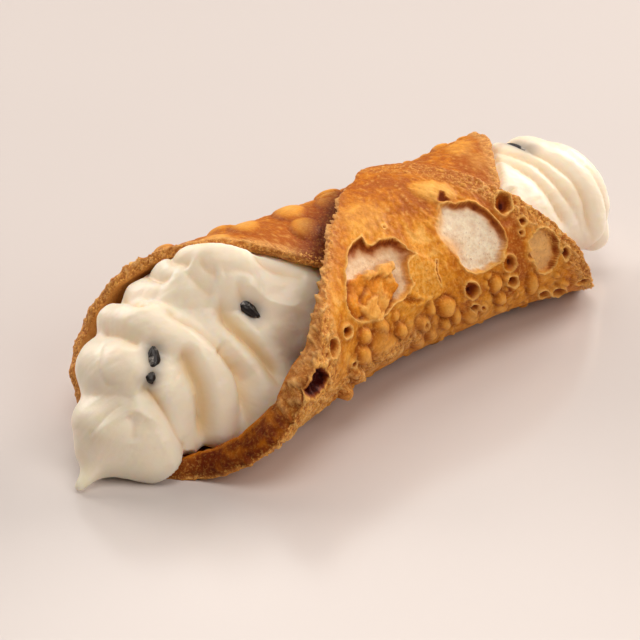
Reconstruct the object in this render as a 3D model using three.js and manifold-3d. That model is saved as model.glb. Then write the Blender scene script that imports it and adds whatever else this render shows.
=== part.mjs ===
// A cannoli: a disc of dough, wrapped round into a tube and fried, and filled from both ends with
// piped ricotta cream that has chocolate chips in it.
//
// Millimetres. +X runs along the tube to its far end, -Y is the side of the outer flap (the front),
// and +Z is up. The origin is on the flat strip underneath that the shell rests on.
//
// The shell is one sheet. A point of it has a place in the flat disc: "along" the tube from its
// middle, and "round" it from the line that ends up underneath, positive up the front.
import * as THREE from "three";
import { mergeVertices } from "three/addons/utils/BufferGeometryUtils.js";
import Module from "manifold-3d";

// --- The flat disc of dough -------------------------------------------------------------------
const NEAR_REACH = 72.5; // from the tube's middle to the lip at its near end
const FAR_REACH = 54.5; // and to the lip at its far end
const FRONT_FLAP = 62; // round the tube to the tip of the outer flap
const BACK_FLAP = 91; // and to the tip of the inner flap, which ends beneath the outer one
const FLAP_SKEW = 4.9; // how far the outer flap's tip lies towards the far end
// Each quarter of the outline is a curve between an ellipse (1, 1) and a straight cut (2, 2).
const NEAR_FRONT_CORNER = { along: 1.58, round: 1.85 };
const FAR_FRONT_CORNER = { along: 1.85, round: 1.85 };
const NEAR_BACK_CORNER = { along: 1.88, round: 1.06 };
const FAR_BACK_CORNER = { along: 1.54, round: 1.12 };
const EDGE_CRUMB = 0.5; // how far the broken edge wanders in and out

// --- The tube that it is wrapped into -----------------------------------------------------------
const TUBE_RADIUS = 18.4;
const TUBE_OVAL = 0.15; // how much wider than tall the tube is
const REST_SINK = 0.5; // how much of the round underside is flattened by its weight
const LAYER_STEP = 3; // from one layer's surface to the next one's
const SHEET = 2; // thickness of the fried dough
const SEAM_ANGLE = THREE.MathUtils.degToRad(10); // how far up the front the disc's middle line lies
const WAIST = 2.6; // how much the tube widens from its middle to WAIST_REACH along it
const WAIST_REACH = 60;
const NEAR_LIP = { starts: 3, all: 2.8, front: 6.6, back: -5.7, lift: 3.6 };
const FAR_LIP = { starts: 21.5, all: -0.3, front: 3.7 };
// Where the front of the near lip has puffed up: how much thicker it is, over which share of the way
// in from the edge that dies away, and where round the tube it comes up and goes down again.
const LIP_SWELL = { thickness: 3.6, inward: [0.02, 0.15], comes: [0, 11], goes: [29, 42] };

// --- Blisters of the fried dough, placed by [along, round] --------------------------------------
// A popped blister is a dish with a raised ragged rim. A whole one is a dome.
const POPPED = [
  { at: [-18.8, 37], size: [9.2, 6.2], depth: 1 },
  { at: [9.5, 36.8], size: [8.9, 6.4], depth: 1 },
  { at: [27, 29.2], size: [3.1, 4.3], depth: 0.7 },
  { at: [-43.2, 27.4], size: [2.9, 1.5], depth: 1.1 },
];
const DOMES = [
  { at: [9.3, 48], size: [4.7, 3], height: 0.9 },
  { at: [-0.5, 25], size: [3.6, 3.6], height: 1.2 },
  { at: [-19, -54.5], size: [5, 5], height: 1 },
  { at: [-22.5, -63], size: [5, 5], height: 0.9 },
];
const RIM_RISE = 0.45; // of a popped blister's rim
// The lower front is covered with small whole blisters in rows across the tube.
const LUMPS = { from: 4, to: 27, pitch: [7.2, 6.4], height: 0.5 };
const COVERED_FROM = -72; // round the tube, where the inner flap goes beneath the outer one

// --- The piped cream ------------------------------------------------------------------------------
// Thick strokes [x, y, z, radius], each smoothed through its points and blended into the others.
const STROKES = [
  { blend: 3, through: [[-64, 0, 12.5, 10], [-45, -1, 15.5, 12], [-20, 0, 16.5, 18], [20, 0, 17, 18],
    [38, 0, 17, 16], [45, -1, 17.5, 12]] }, // the core, right through the tube
  { blend: 4, through: [[-61.5, 7, 17.5, 6], [-51.5, 8, 24, 6], [-40.5, 5, 26, 6]] }, // along the back
  { blend: 4, through: [[-72.5, -5, 8.5, 6.5], [-69.5, -9, 6.5, 6]] }, // behind the front arch
  { blend: 3, through: [[-73, -1, 9, 5.5], [-71, -5.4, 10, 6], [-67.3, -9.6, 7.4, 5.6], [-67, -13, 4, 4.3]] },
  { blend: 3, through: [[-75, -2, 10, 4.8], [-76, -4, 6, 3.7], [-79, -6, 3.5, 2.2], [-83.5, -7, 1.3, 1]] },
  { blend: 3, through: [[-77, -4, 5, 4], [-73.5, -9, 4, 3.5], [-70, -12, 3, 3.5]] }, // the drip's apron
  { blend: 2.5, through: [[-68.5, 5, 17, 5.5], [-67, -3, 18.5, 7], [-63, -8, 15, 6.2],
    [-61, -11, 6.2, 4.4]] },
  { blend: 1.6, through: [[-62, 9, 23, 4], [-60.5, 0, 24.5, 6], [-56, -6, 21, 6.5], [-54, -11, 13.5, 6],
    [-54.5, -14, 6.5, 4.5]] },
  { blend: 1.6, through: [[-54.5, 11, 25, 3.5], [-51.5, 3, 26.5, 5.5], [-46, -5, 21, 7.5],
    [-42.5, -11, 13.5, 7], [-44.5, -15.5, 8.5, 6], [-49, -15.5, 4.5, 4.5]] },
  { blend: 2, through: [[-49, 9, 28, 4.5], [-46, 3, 33, 4.5], [-43, -1.5, 34, 5], [-38, -3, 31.5, 5.5],
    [-36.5, -5, 28, 6], [-36, -7, 22, 7]] },
  { blend: 2.5, through: [[-32.5, -3, 28, 5.5], [-28.5, -6, 24, 8], [-33.5, -9, 17.5, 9]] }, // in the mouth
  { blend: 4, through: [[43.5, -1, 24, 10], [48.5, -4, 21.5, 10.3], [51, -6, 17.5, 9], [51.5, -9, 15, 6.5]] },
  { blend: 4, through: [[53, -4, 17, 8.5], [57, -4, 13, 6.5], [59, -5, 9.5, 5], [60, -6, 7.5, 4]] },
];
// The creases between turns of the piping, as lines [x, y, z] along the surface.
const CREASES = [
  { depth: 1, width: 3, through: [[-66.4, 8.1, 22.7], [-66.8, 4, 24.3], [-66.8, -1.3, 25.7],
    [-65.5, -5, 25.3]] },
  { depth: 1.5, width: 3, through: [[-76.5, 2, 14], [-75.6, -0.1, 15.5], [-74.5, -3.9, 17.1],
    [-72.8, -7.4, 17.9], [-71.2, -9.5, 17.3]] },
  { depth: 1.7, width: 3, through: [[-72.5, -8, 18], [-71, -9.7, 17.5], [-69.4, -11.1, 17.1],
    [-67.6, -12.5, 14.9], [-66.4, -14.3, 11.3], [-65.6, -15.6, 8.5], [-64.6, -16, 4]] },
  { depth: 2, width: 3.2, through: [[-59.7, -9.5, 25.6], [-59.4, -11, 23.4], [-59.1, -12.6, 20.3],
    [-58.5, -14.2, 17], [-58.6, -15, 13], [-59.1, -15.2, 8.7], [-59.5, -15.1, 3]] },
  { depth: 1.3, width: 3, through: [[-52.5, -11.5, 23], [-51.7, -12.4, 21.8], [-50.6, -13.4, 19.3],
    [-49.6, -14.1, 16.7], [-49.8, -15.9, 13], [-51, -18, 5]] },
  { depth: 1, width: 4, through: [[-58.2, -1.2, 30.2], [-57.6, -5.7, 29.2], [-55, -8.7, 27],
    [-53.1, -11.1, 24.3], [-51.6, -12.7, 21.4]] },
  { depth: 1.9, width: 3.5, through: [[-47.7, -5.1, 29.8], [-48, -8.7, 27.4], [-47.1, -11.2, 25.2],
    [-45.6, -13.5, 22.6], [-43.9, -15.6, 19.3], [-43, -17.6, 16.3], [-43.1, -19.1, 12]] },
  { depth: 0.9, width: 2.5, through: [[-48.3, -0.1, 36.9], [-48.2, -2.5, 35.4], [-47.5, -3.9, 33.5],
    [-46.6, -3.8, 30.9]] },
  { depth: 0.9, width: 2.5, through: [[-59.1, 10.5, 26.5], [-60, 7, 28], [-61.1, 2.5, 30.2],
    [-59.3, -0.1, 30.4]] },
  { depth: 0.9, width: 2.5, through: [[-52.8, 10.5, 30.5], [-53.4, 5.5, 31.6], [-52, 2.2, 32]] },
  { depth: 0.9, width: 2.5, through: [[-50, 6, 34.8], [-49.8, 2, 35.1], [-49.6, 0.1, 33.8]] },
  { depth: 1.2, width: 3, through: [[-38.9, -3.5, 37.5], [-38.5, -6.7, 35.7], [-37.3, -8.4, 33.5],
    [-37, -10.1, 31.1]] },
  { depth: 1.3, width: 3.6, through: [[33, 0, 30.5], [37, -9, 28.5], [40, -13, 21.5], [43, -14, 16.5]] },
  { depth: 1.3, width: 3.6, through: [[36, 2, 32.5], [40, -8, 31.5], [43, -13, 25.5], [48, -14, 12.5]] },
  { depth: 1.2, width: 3.6, through: [[41, -3, 34.5], [46, -12, 29.5], [49, -15, 17.5], [51, -14, 10.5]] },
];
const CREASE_TAPER = 0.18; // share of a crease over which each of its ends runs out
const AXIS_NEAR = [-60, 0, 13.5]; // the line inside the cream that its surface is measured from
const AXIS_FAR = [46, -2, 14.5];
const NEAR_POLE = [-23.5, -6.5, -12.3]; // from AXIS_NEAR towards the tip of the drip
const FAR_POLE = [10, -1, -3];
const CREAM_GAP = 0.6; // left between the cream and the shell
const PLATE_GAP = 0.1; // left beneath the drip
const LIP_MARGIN = 1; // how far past a lip the cream starts to swell over it
const TIP_MARGIN = 4; // and past the inner flap's hidden tip
const CHIP = { radius: 2.2, height: 4.6 };
// From the middle of its flat base to its point, as shares of the radius and of the height.
const CHIP_PROFILE = [[0, -0.5], [0.8, -0.5], [1, -0.25], [0.7, 0.12], [0.3, 0.33], [0, 0.5]];
// Each chip sits half sunk in the cream next to the given place, with its point the given way.
const CHIPS = [
  { beside: [-66, -9, 24], points: [0.5, 0.3, 0.8] },
  { beside: [-42, -7, 27.5], points: [-0.5, 0.3, 0.8] },
  { beside: [40.5, -1.5, 34], points: [0.9, -0.4, 0] },
];

// --- How finely the faces are divided ---------------------------------------------------------------
const OUTER_RINGS = 28;
const INNER_RINGS = 14; // half of OUTER_RINGS, so that the edges meet two to one
const OUTLINE_STEPS = 720;
const CREAM_SIDES = 56;
const FINE_SIDE = 2.2; // the turn from straight down at which the sides are closest together
const FINENESS = 0.45; // how much closer than on average they are there
const STROKE_STEPS = 5; // between two of a stroke's points
const CREASE_STEPS = 3;
// Rings round the cream: how many there are up to each place along its axis, from 0 to 1.
const CREAM_STATIONS = [[0, 0], [17, 0.34], [21, 0.8], [27, 1]];
const NEAR_CAP_RINGS = 15;
const FAR_CAP_RINGS = 8;

const add = (a, b) => a.map((value, i) => value + b[i]);
const minus = (a, b) => a.map((value, i) => value - b[i]);
const scaled = (a, k) => a.map((value) => value * k);
const dot = (a, b) => a[0] * b[0] + a[1] * b[1] + a[2] * b[2];
const unit = (a) => scaled(a, 1 / Math.hypot(...a));

function ramp(from, to, value) {
  return THREE.MathUtils.smoothstep(value, from, to);
}

// --- Shell ---------------------------------------------------------------------------------------
function corner(isFront, isNear) {
  if (isFront) return isNear ? NEAR_FRONT_CORNER : FAR_FRONT_CORNER;
  return isNear ? NEAR_BACK_CORNER : FAR_BACK_CORNER;
}

// The disc's outline at a turn of 0 to 2 pi: 0 is the far lip and a quarter the outer flap's tip.
function outlineAt(turn) {
  const c = Math.cos(turn);
  const s = Math.sin(turn);
  const shape = corner(s >= 0, c < 0);
  const reach = c < 0 ? -NEAR_REACH : FAR_REACH;
  const flap = s >= 0 ? FRONT_FLAP : -BACK_FLAP;
  const skew = s > 0 ? FLAP_SKEW * s * s : 0;
  return [reach * Math.abs(c) ** shape.along + skew, flap * Math.abs(s) ** shape.round];
}

// Points at even steps along the outline, starting at the near lip.
function evenOutline(count) {
  const fine = [];
  const length = [0];
  for (let i = 0; i <= OUTLINE_STEPS; i++) {
    fine.push(outlineAt(Math.PI + (2 * Math.PI * i) / OUTLINE_STEPS));
    if (i > 0) length.push(length[i - 1] + Math.hypot(...minus(fine[i], fine[i - 1])));
  }
  const points = [];
  let i = 0;
  for (let k = 0; k < count; k++) {
    const wanted = (length[OUTLINE_STEPS] * k) / count;
    while (length[i + 1] < wanted) i++;
    const t = (wanted - length[i]) / (length[i + 1] - length[i]);
    points.push([0, 1].map((axis) => THREE.MathUtils.lerp(fine[i][axis], fine[i + 1][axis], t)));
  }
  return points;
}

// How far the edge wanders outwards, as a share of the outline, by its place round the disc.
function crumb(along, round) {
  const wander = Math.sin(along * 0.55 + 1) + Math.sin(round * 0.43 + along * 0.21)
    + Math.sin(round * 0.9 + 2);
  return 1 + (EDGE_CRUMB * wander) / (2 * NEAR_REACH);
}

function bowl(along, round, blister) {
  return Math.hypot((along - blister.at[0]) / blister.size[0], (round - blister.at[1]) / blister.size[1]);
}

// How far the blisters lift the outer surface from a plain sheet.
function relief(along, round) {
  const bare = ramp(COVERED_FROM - 6, COVERED_FROM, round);
  let lift = 0.25 * Math.sin(along * 0.31 + round * 0.12) * Math.sin(round * 0.27 + 1);
  for (const dome of DOMES) lift += dome.height * (1 - ramp(0.2, 1, bowl(along, round, dome)));
  const rows = ramp(LUMPS.from - 4, LUMPS.from, round) * (1 - ramp(LUMPS.to, LUMPS.to + 4, round));
  const [row, column] = LUMPS.pitch;
  lift += rows * LUMPS.height * Math.sin((2 * Math.PI * (along + 0.4 * round)) / row)
    * Math.sin((2 * Math.PI * round) / column);
  for (const blister of POPPED) {
    const b = bowl(along, round, blister);
    lift *= ramp(0.8, 1.3, b);
    lift += RIM_RISE * Math.exp(-(((b - 1.12) / 0.16) ** 2)) - blister.depth * (1 - ramp(0.75, 1.05, b));
  }
  return lift * bare;
}

// 1 where the near lip's front has puffed up, and 0 away from it.
function swell(along, round) {
  const inward = 1 - (Math.max(-along, 0) / NEAR_REACH) ** (2 / NEAR_FRONT_CORNER.along)
    - (Math.max(round, 0) / FRONT_FLAP) ** (2 / NEAR_FRONT_CORNER.round);
  const { comes, goes } = LIP_SWELL;
  return (1 - ramp(...LIP_SWELL.inward, inward)) * ramp(...comes, round) * (1 - ramp(...goes, round));
}

// A place on the disc, wrapped into the tube. "below" is how deep it lies under the outer surface.
function wrap(along, round, below) {
  const angle = SEAM_ANGLE + round / TUBE_RADIUS;
  const sine = Math.sin(angle);
  const front = Math.max(sine, 0);
  const back = Math.max(-sine, 0);
  const underneath = Math.max(Math.cos(angle), 0);
  const near = ramp(NEAR_LIP.starts, NEAR_REACH, -along);
  const far = ramp(FAR_LIP.starts, FAR_REACH, along);
  const radius = TUBE_RADIUS + (LAYER_STEP * round) / (2 * Math.PI * TUBE_RADIUS)
    + near * (NEAR_LIP.all + NEAR_LIP.front * front + NEAR_LIP.back * back)
    + far * (FAR_LIP.all + FAR_LIP.front * front)
    + WAIST * (along / WAIST_REACH) ** 2 * (1 - underneath) - below
    - LIP_SWELL.thickness * swell(along, round) * THREE.MathUtils.clamp(below / SHEET, 0, 1);
  return [
    along,
    -radius * sine * (1 + TUBE_OVAL),
    TUBE_RADIUS - REST_SINK - radius * Math.cos(angle) + near * underneath * NEAR_LIP.lift,
  ];
}

// A disc of triangles in six wedges, with 6 i points in ring i.
function discTriangles(rings, first, flip) {
  const triangles = [];
  const start = (ring) => (ring === 0 ? first : first + 1 + 3 * ring * (ring - 1));
  const point = (ring, step) => (ring === 0 ? first : start(ring) + (step % (6 * ring)));
  const put = (a, b, c) => triangles.push(...(flip ? [a, c, b] : [a, b, c]));
  for (let ring = 1; ring <= rings; ring++) {
    for (let wedge = 0; wedge < 6; wedge++) {
      for (let j = 0; j < ring; j++) {
        const outer = wedge * ring + j;
        const inner = wedge * (ring - 1) + j;
        put(point(ring, outer), point(ring, outer + 1), point(ring - 1, inner));
        if (j < ring - 1) put(point(ring - 1, inner), point(ring, outer + 1), point(ring - 1, inner + 1));
      }
    }
  }
  return triangles;
}

// The disc's points, ring by ring, on the outer surface or on the inner one.
function discPoints(rings, isOuter) {
  const points = [];
  for (let ring = 0; ring <= rings; ring++) {
    for (const [alongEdge, roundEdge] of ring === 0 ? [[0, 0]] : evenOutline(6 * ring)) {
      const share = (ring / rings) * crumb(alongEdge, roundEdge);
      const along = alongEdge * share;
      const round = roundEdge * share;
      const [x, y, z] = wrap(along, round, isOuter ? -relief(along, round) : SHEET);
      points.push(x, y, isOuter ? Math.max(z, 0) : z);
    }
  }
  return points;
}

function shellGeometry() {
  const outer = discPoints(OUTER_RINGS, true);
  const inner = discPoints(INNER_RINGS, false);
  const innerFirst = outer.length / 3;
  const index = [...discTriangles(OUTER_RINGS, 0, false), ...discTriangles(INNER_RINGS, innerFirst, true)];
  // The broken edge joins every second outer edge point to the inner edge.
  const outerEdge = innerFirst - 6 * OUTER_RINGS;
  const innerEdge = innerFirst + inner.length / 3 - 6 * INNER_RINGS;
  for (let i = 0; i < 6 * INNER_RINGS; i++) {
    const here = innerEdge + i;
    const next = innerEdge + ((i + 1) % (6 * INNER_RINGS));
    const [a, b, c] = [0, 1, 2].map((k) => outerEdge + ((2 * i + k) % (6 * OUTER_RINGS)));
    index.push(a, here, b, b, here, next, b, next, c);
  }
  return closedGeometry([...outer, ...inner], index);
}

function closedGeometry(positions, index) {
  const geometry = new THREE.BufferGeometry();
  geometry.setAttribute("position", new THREE.Float32BufferAttribute(positions, 3));
  geometry.setIndex(index);
  geometry.computeVertexNormals();
  return geometry;
}

// --- Cream ---------------------------------------------------------------------------------------
// A smooth line through the given points, whatever number of values each has.
function smoothLine(through, steps) {
  const last = through.length - 1;
  const before = minus(scaled(through[0], 2), through[1]);
  const after = minus(scaled(through[last], 2), through[last - 1]);
  const knots = [before, ...through, after];
  const line = [];
  for (let i = 1; i <= last; i++) {
    for (let j = 0; j < steps; j++) {
      const t = j / steps;
      line.push(knots[i].map((value, k) => {
        const [a, b, c, d] = [knots[i - 1][k], value, knots[i + 1][k], knots[i + 2][k]];
        const bend = (2 * a - 5 * b + 4 * c - d) * t + (3 * b - a - 3 * c + d) * t * t;
        return b + ((c - a + bend) * t) / 2;
      }));
    }
  }
  line.push(through[last]);
  return line;
}

const strokes = STROKES.map((stroke) => ({ ...stroke, line: smoothLine(stroke.through, STROKE_STEPS) }));
const creases = CREASES.map((crease) => ({ ...crease, line: smoothLine(crease.through, CREASE_STEPS) }));

function strokeDistance(point, line) {
  let nearest = Infinity;
  for (let i = 1; i < line.length; i++) {
    const [from, to] = [line[i - 1], line[i]];
    const span = minus(to.slice(0, 3), from);
    const offset = minus(point, from);
    const t = THREE.MathUtils.clamp(dot(offset, span) / dot(span, span), 0, 1);
    const gap = Math.hypot(...minus(offset, scaled(span, t)));
    nearest = Math.min(nearest, gap - THREE.MathUtils.lerp(from[3], to[3], t));
  }
  return nearest;
}

function axisPoint(point) {
  const span = minus(AXIS_FAR, AXIS_NEAR);
  const t = THREE.MathUtils.clamp(dot(minus(point, AXIS_NEAR), span) / dot(span, span), 0, 1);
  return add(AXIS_NEAR, scaled(span, t));
}

// How deep the creases are at a point. A crease is measured across its line, whatever the height
// over it, so that it follows the surface.
function creaseDepth(point) {
  let depth = 0;
  for (const { line, depth: deepest, width } of creases) {
    let nearest = Infinity;
    let fade = 0;
    for (let i = 1; i < line.length; i++) {
      const middle = scaled(add(line[i - 1], line[i]), 0.5);
      const outward = unit(minus(middle, axisPoint(middle)));
      const flat = (v) => minus(v, scaled(outward, dot(v, outward)));
      const span = flat(minus(line[i], line[i - 1]));
      const offset = minus(point, line[i - 1]);
      const across = flat(offset);
      const t = THREE.MathUtils.clamp(dot(across, span) / dot(span, span), 0, 1);
      const aside = Math.max(Math.abs(dot(offset, outward)) - 8, 0);
      const gap = Math.hypot(...minus(across, scaled(span, t))) + aside;
      if (gap >= nearest) continue;
      nearest = gap;
      const share = (i - 1 + t) / (line.length - 1);
      fade = ramp(0, CREASE_TAPER, share) * (1 - ramp(1 - CREASE_TAPER, 1, share));
    }
    depth += deepest * fade * Math.max(1 - nearest / width, 0) ** 2;
  }
  return depth;
}

function creamDistance(point) {
  let distance = Infinity;
  for (const { blend, line } of strokes) {
    const next = strokeDistance(point, line);
    const overlap = Math.max(blend - Math.abs(distance - next), 0) / blend;
    distance = Math.min(distance, next) - (overlap * overlap * blend) / 4;
  }
  return distance > 4 ? distance : distance + creaseDepth(point);
}

// How far inside the disc's outline a place is, roughly in millimetres, negative outside it.
function insideOutline(along, round) {
  const shape = corner(round >= 0, along < 0);
  const reach = along < 0 ? NEAR_REACH : FAR_REACH;
  const flap = round >= 0 ? FRONT_FLAP : BACK_FLAP;
  const share = (Math.abs(along) / reach) ** (2 / shape.along)
    + (Math.abs(round) / flap) ** (2 / shape.round);
  return Math.min(reach, flap) * (1 - share) * 0.6;
}

// How far a point is past the room that the shell leaves for the cream, negative within it.
function pastShell([x, y, z]) {
  const across = -y / (1 + TUBE_OVAL);
  const near = ramp(NEAR_LIP.starts, NEAR_REACH, -x);
  let down = TUBE_RADIUS - REST_SINK - z;
  for (let pass = 0; pass < 3; pass++) {
    const underneath = Math.max(down, 0) / Math.hypot(across, down);
    down = TUBE_RADIUS - REST_SINK - z + near * underneath * NEAR_LIP.lift;
  }
  const angle = Math.atan2(across, down);
  const radius = Math.hypot(across, down);
  let past = -Infinity;
  for (const turn of [-2, -1, 0, 1]) {
    const round = TUBE_RADIUS * (angle + 2 * Math.PI * turn - SEAM_ANGLE);
    if (round > FRONT_FLAP + 2 * TIP_MARGIN || round < -BACK_FLAP - 2 * TIP_MARGIN) continue;
    const [, wallY, wallZ] = wrap(x, round, SHEET + CREAM_GAP);
    const wallDown = TUBE_RADIUS - REST_SINK - wallZ + near * Math.max(Math.cos(angle), 0) * NEAR_LIP.lift;
    const room = Math.hypot(wallY / (1 + TUBE_OVAL), wallDown);
    const beyond = round < COVERED_FROM ? TIP_MARGIN : LIP_MARGIN;
    const outside = Math.max(-beyond - insideOutline(x, round), 0);
    past = Math.max(past, radius - room - 1.5 * outside);
  }
  return Math.max(past, PLATE_GAP - z);
}

// The cream's surface along a ray out of its axis: as far as the shell allows, and then back to
// where the cream is.
function surfacePoint(origin, direction) {
  const step = 0.5;
  let reach = step;
  while (reach < 45 && pastShell(add(origin, scaled(direction, reach))) < 0) reach += step;
  let low = reach - step;
  for (let i = 0; i < 8; i++) {
    const middle = (low + reach) / 2;
    if (pastShell(add(origin, scaled(direction, middle))) < 0) low = middle;
    else reach = middle;
  }
  reach = low;
  for (let i = 0; i < 40; i++) {
    const distance = creamDistance(add(origin, scaled(direction, reach)));
    if (distance < 0.02) break;
    reach -= distance * 0.8;
  }
  return add(origin, scaled(direction, reach));
}

// The rings of the cream's surface: where each is along the axis, and how far its rays lean over
// towards the end, from 0 to 1.
function creamRings() {
  const rings = [];
  for (let i = 1; i < NEAR_CAP_RINGS; i++) {
    rings.push({ at: 0, lean: 1 - i / NEAR_CAP_RINGS, pole: NEAR_POLE });
  }
  for (let i = 1; i < CREAM_STATIONS.length; i++) {
    const [[firstRing, first], [lastRing, last]] = [CREAM_STATIONS[i - 1], CREAM_STATIONS[i]];
    for (let ring = firstRing; ring < lastRing; ring++) {
      const t = (ring - firstRing) / (lastRing - firstRing);
      rings.push({ at: THREE.MathUtils.lerp(first, last, t), lean: 0, pole: FAR_POLE });
    }
  }
  for (let i = 0; i < FAR_CAP_RINGS; i++) rings.push({ at: 1, lean: i / FAR_CAP_RINGS, pole: FAR_POLE });
  return rings;
}

function creamGeometry() {
  const rings = creamRings();
  const positions = [];
  for (const { at, lean, pole } of rings) {
    const origin = add(AXIS_NEAR, scaled(minus(AXIS_FAR, AXIS_NEAR), at));
    for (let side = 0; side < CREAM_SIDES; side++) {
      const even = (2 * Math.PI * side) / CREAM_SIDES;
      const angle = even - FINENESS * Math.sin(even - FINE_SIDE);
      const out = scaled([0, -Math.sin(angle), -Math.cos(angle)], Math.cos((lean * Math.PI) / 2));
      const direction = unit(add(out, scaled(unit(pole), Math.sin((lean * Math.PI) / 2))));
      positions.push(...surfacePoint(origin, direction));
    }
  }
  const nearTip = positions.length / 3;
  positions.push(...surfacePoint(AXIS_NEAR, unit(NEAR_POLE)));
  const farTip = nearTip + 1;
  positions.push(...surfacePoint(AXIS_FAR, unit(FAR_POLE)));

  const index = [];
  const lastRing = (rings.length - 1) * CREAM_SIDES;
  for (let side = 0; side < CREAM_SIDES; side++) {
    const next = (side + 1) % CREAM_SIDES;
    index.push(nearTip, side, next, farTip, lastRing + next, lastRing + side);
    for (let ring = 0; ring < lastRing; ring += CREAM_SIDES) {
      const [a, b, c, d] = [ring + side, ring + next, ring + CREAM_SIDES + side, ring + CREAM_SIDES + next];
      index.push(a, c, b, b, c, d);
    }
  }
  return closedGeometry(positions, index);
}

// A chip: a little drop with a flat base.
function chipGeometry({ beside, points }) {
  const { radius, height } = CHIP;
  const inside = axisPoint(beside);
  const middle = surfacePoint(inside, unit(minus(beside, inside)));
  const profile = CHIP_PROFILE.map(([r, h]) => new THREE.Vector2(r * radius, h * height));
  const upright = new THREE.Vector3(0, 1, 0);
  const turn = new THREE.Quaternion().setFromUnitVectors(upright, new THREE.Vector3(...unit(points)));
  return new THREE.LatheGeometry(profile, 8).applyQuaternion(turn).translate(...middle);
}

// --- Joining with manifold-3d ----------------------------------------------------------------------
const wasm = await Module();
wasm.setup();

function solid(geometry) {
  const bare = geometry.clone();
  bare.deleteAttribute("normal");
  bare.deleteAttribute("uv");
  const merged = mergeVertices(bare, 1e-4);
  return new wasm.Manifold(new wasm.Mesh({
    numProp: 3,
    vertProperties: new Float32Array(merged.attributes.position.array),
    triVerts: new Uint32Array(merged.index.array),
  }));
}

function fusedGeometry(body, toppings) {
  const fused = toppings.reduce((sum, topping) => sum.add(solid(topping)), solid(body)).getMesh();
  return closedGeometry([...fused.vertProperties], [...fused.triVerts]);
}

const crust = new THREE.MeshStandardMaterial({ color: 0xc07a34, roughness: 0.6, metalness: 0 });
const ricotta = new THREE.MeshStandardMaterial({ color: 0xf3ead6, roughness: 0.45, metalness: 0 });

const shell = new THREE.Mesh(shellGeometry(), crust);
shell.name = "shell";
const filling = new THREE.Mesh(fusedGeometry(creamGeometry(), CHIPS.map(chipGeometry)), ricotta);
filling.name = "filling";

const cannoli = new THREE.Group();
cannoli.add(shell, filling);
export default cannoli;
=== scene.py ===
"""Looks of the cannoli: its blistered crust, piped cream, chocolate chips, studio and camera.

Shapes are worked out in millimetres in the part's own frame, and become metres in make_piece().
The crust is the disc of dough of the part's source, with relief and colour added. The cream is the
source's piped strokes, found along rays out of its axis and kept clear of the dough.
"""

import math

import bpy
import numpy as np
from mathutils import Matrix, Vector


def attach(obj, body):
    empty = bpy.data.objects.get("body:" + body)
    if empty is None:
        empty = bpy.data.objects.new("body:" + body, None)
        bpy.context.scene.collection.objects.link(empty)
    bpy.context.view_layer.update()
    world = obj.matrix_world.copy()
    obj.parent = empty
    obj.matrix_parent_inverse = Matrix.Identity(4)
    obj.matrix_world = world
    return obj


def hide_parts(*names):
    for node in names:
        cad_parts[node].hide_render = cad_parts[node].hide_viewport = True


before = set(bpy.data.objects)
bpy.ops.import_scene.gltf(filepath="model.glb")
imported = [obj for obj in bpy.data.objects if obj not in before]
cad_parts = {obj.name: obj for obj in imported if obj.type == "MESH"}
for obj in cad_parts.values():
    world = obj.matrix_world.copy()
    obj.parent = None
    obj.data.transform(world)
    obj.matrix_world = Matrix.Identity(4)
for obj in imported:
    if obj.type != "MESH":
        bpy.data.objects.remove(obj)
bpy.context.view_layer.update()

MM = 0.001
FAR_AWAY = 1e9  # more than any distance here


def ramp(start, end, value):
    """0 before start and 1 after end, with a smooth rise between."""
    t = np.clip((value - start) / (end - start), 0, 1)
    return t * t * (3 - 2 * t)


def bell(value, width):
    """1 at 0, falling to nothing on both sides."""
    return np.exp(-(value / width) ** 2)


def mix(a, b, share):
    """a where the share is 0, b where it is 1."""
    return a + (b - a) * share


# --- Noise ------------------------------------------------------------------------------------
NOISE_TILE = 128


def perlin(x, y, cell, seed):
    """Smooth noise of about -1 to 1, with features about one cell apart."""
    angle = np.random.default_rng(seed).random((NOISE_TILE, NOISE_TILE)) * 2 * math.pi
    slope_x, slope_y = np.cos(angle), np.sin(angle)
    x, y = x / cell, y / cell
    left, low = np.floor(x).astype(int), np.floor(y).astype(int)
    fx, fy = x - left, y - low

    def corner(i, j):
        a, b = (left + i) % NOISE_TILE, (low + j) % NOISE_TILE
        return slope_x[a, b] * (fx - i) + slope_y[a, b] * (fy - j)

    u = fx ** 3 * (fx * (fx * 6 - 15) + 10)
    v = fy ** 3 * (fy * (fy * 6 - 15) + 10)
    return 1.5 * mix(mix(corner(0, 0), corner(1, 0), u), mix(corner(0, 1), corner(1, 1), u), v)


def fractal(x, y, cell, seed, octaves=4, gain=0.5):
    """Noise of several sizes, each half as large as the one before and "gain" as strong."""
    total = 0
    for k in range(octaves):
        total = total + gain ** k * perlin(x, y, cell / 2 ** k, seed + k)
    return total


# --- The disc of dough and the tube that it is wrapped into, as in the part's source ------------
NEAR_REACH, FAR_REACH = 72.5, 54.5
FRONT_FLAP, BACK_FLAP = 62, 91
FLAP_SKEW = 4.9
CORNERS = {  # (front, near): exponents along and round
    (True, True): (1.58, 1.85), (True, False): (1.85, 1.85),
    (False, True): (1.88, 1.06), (False, False): (1.54, 1.12),
}
EDGE_CRUMB = 0.5
TUBE_RADIUS, TUBE_OVAL, REST_SINK = 18.4, 0.15, 0.5
LAYER_STEP, SHEET = 3, 2
SEAM_ANGLE = math.radians(10)
FULL_TURN = 2 * math.pi * TUBE_RADIUS
WAIST, WAIST_REACH = 2.6, 60
NEAR_FROM, FAR_FROM = 3, 21.5  # where the tube starts to open towards its ends
NEAR_OPEN, NEAR_FRONT_OPEN, NEAR_BACK_SHUT = 2.8, 6.6, 5.7
FAR_OPEN, FAR_FRONT_OPEN = -0.3, 3.7
NEAR_RISE = 3.6  # how much the underside rises at the near lip
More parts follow.
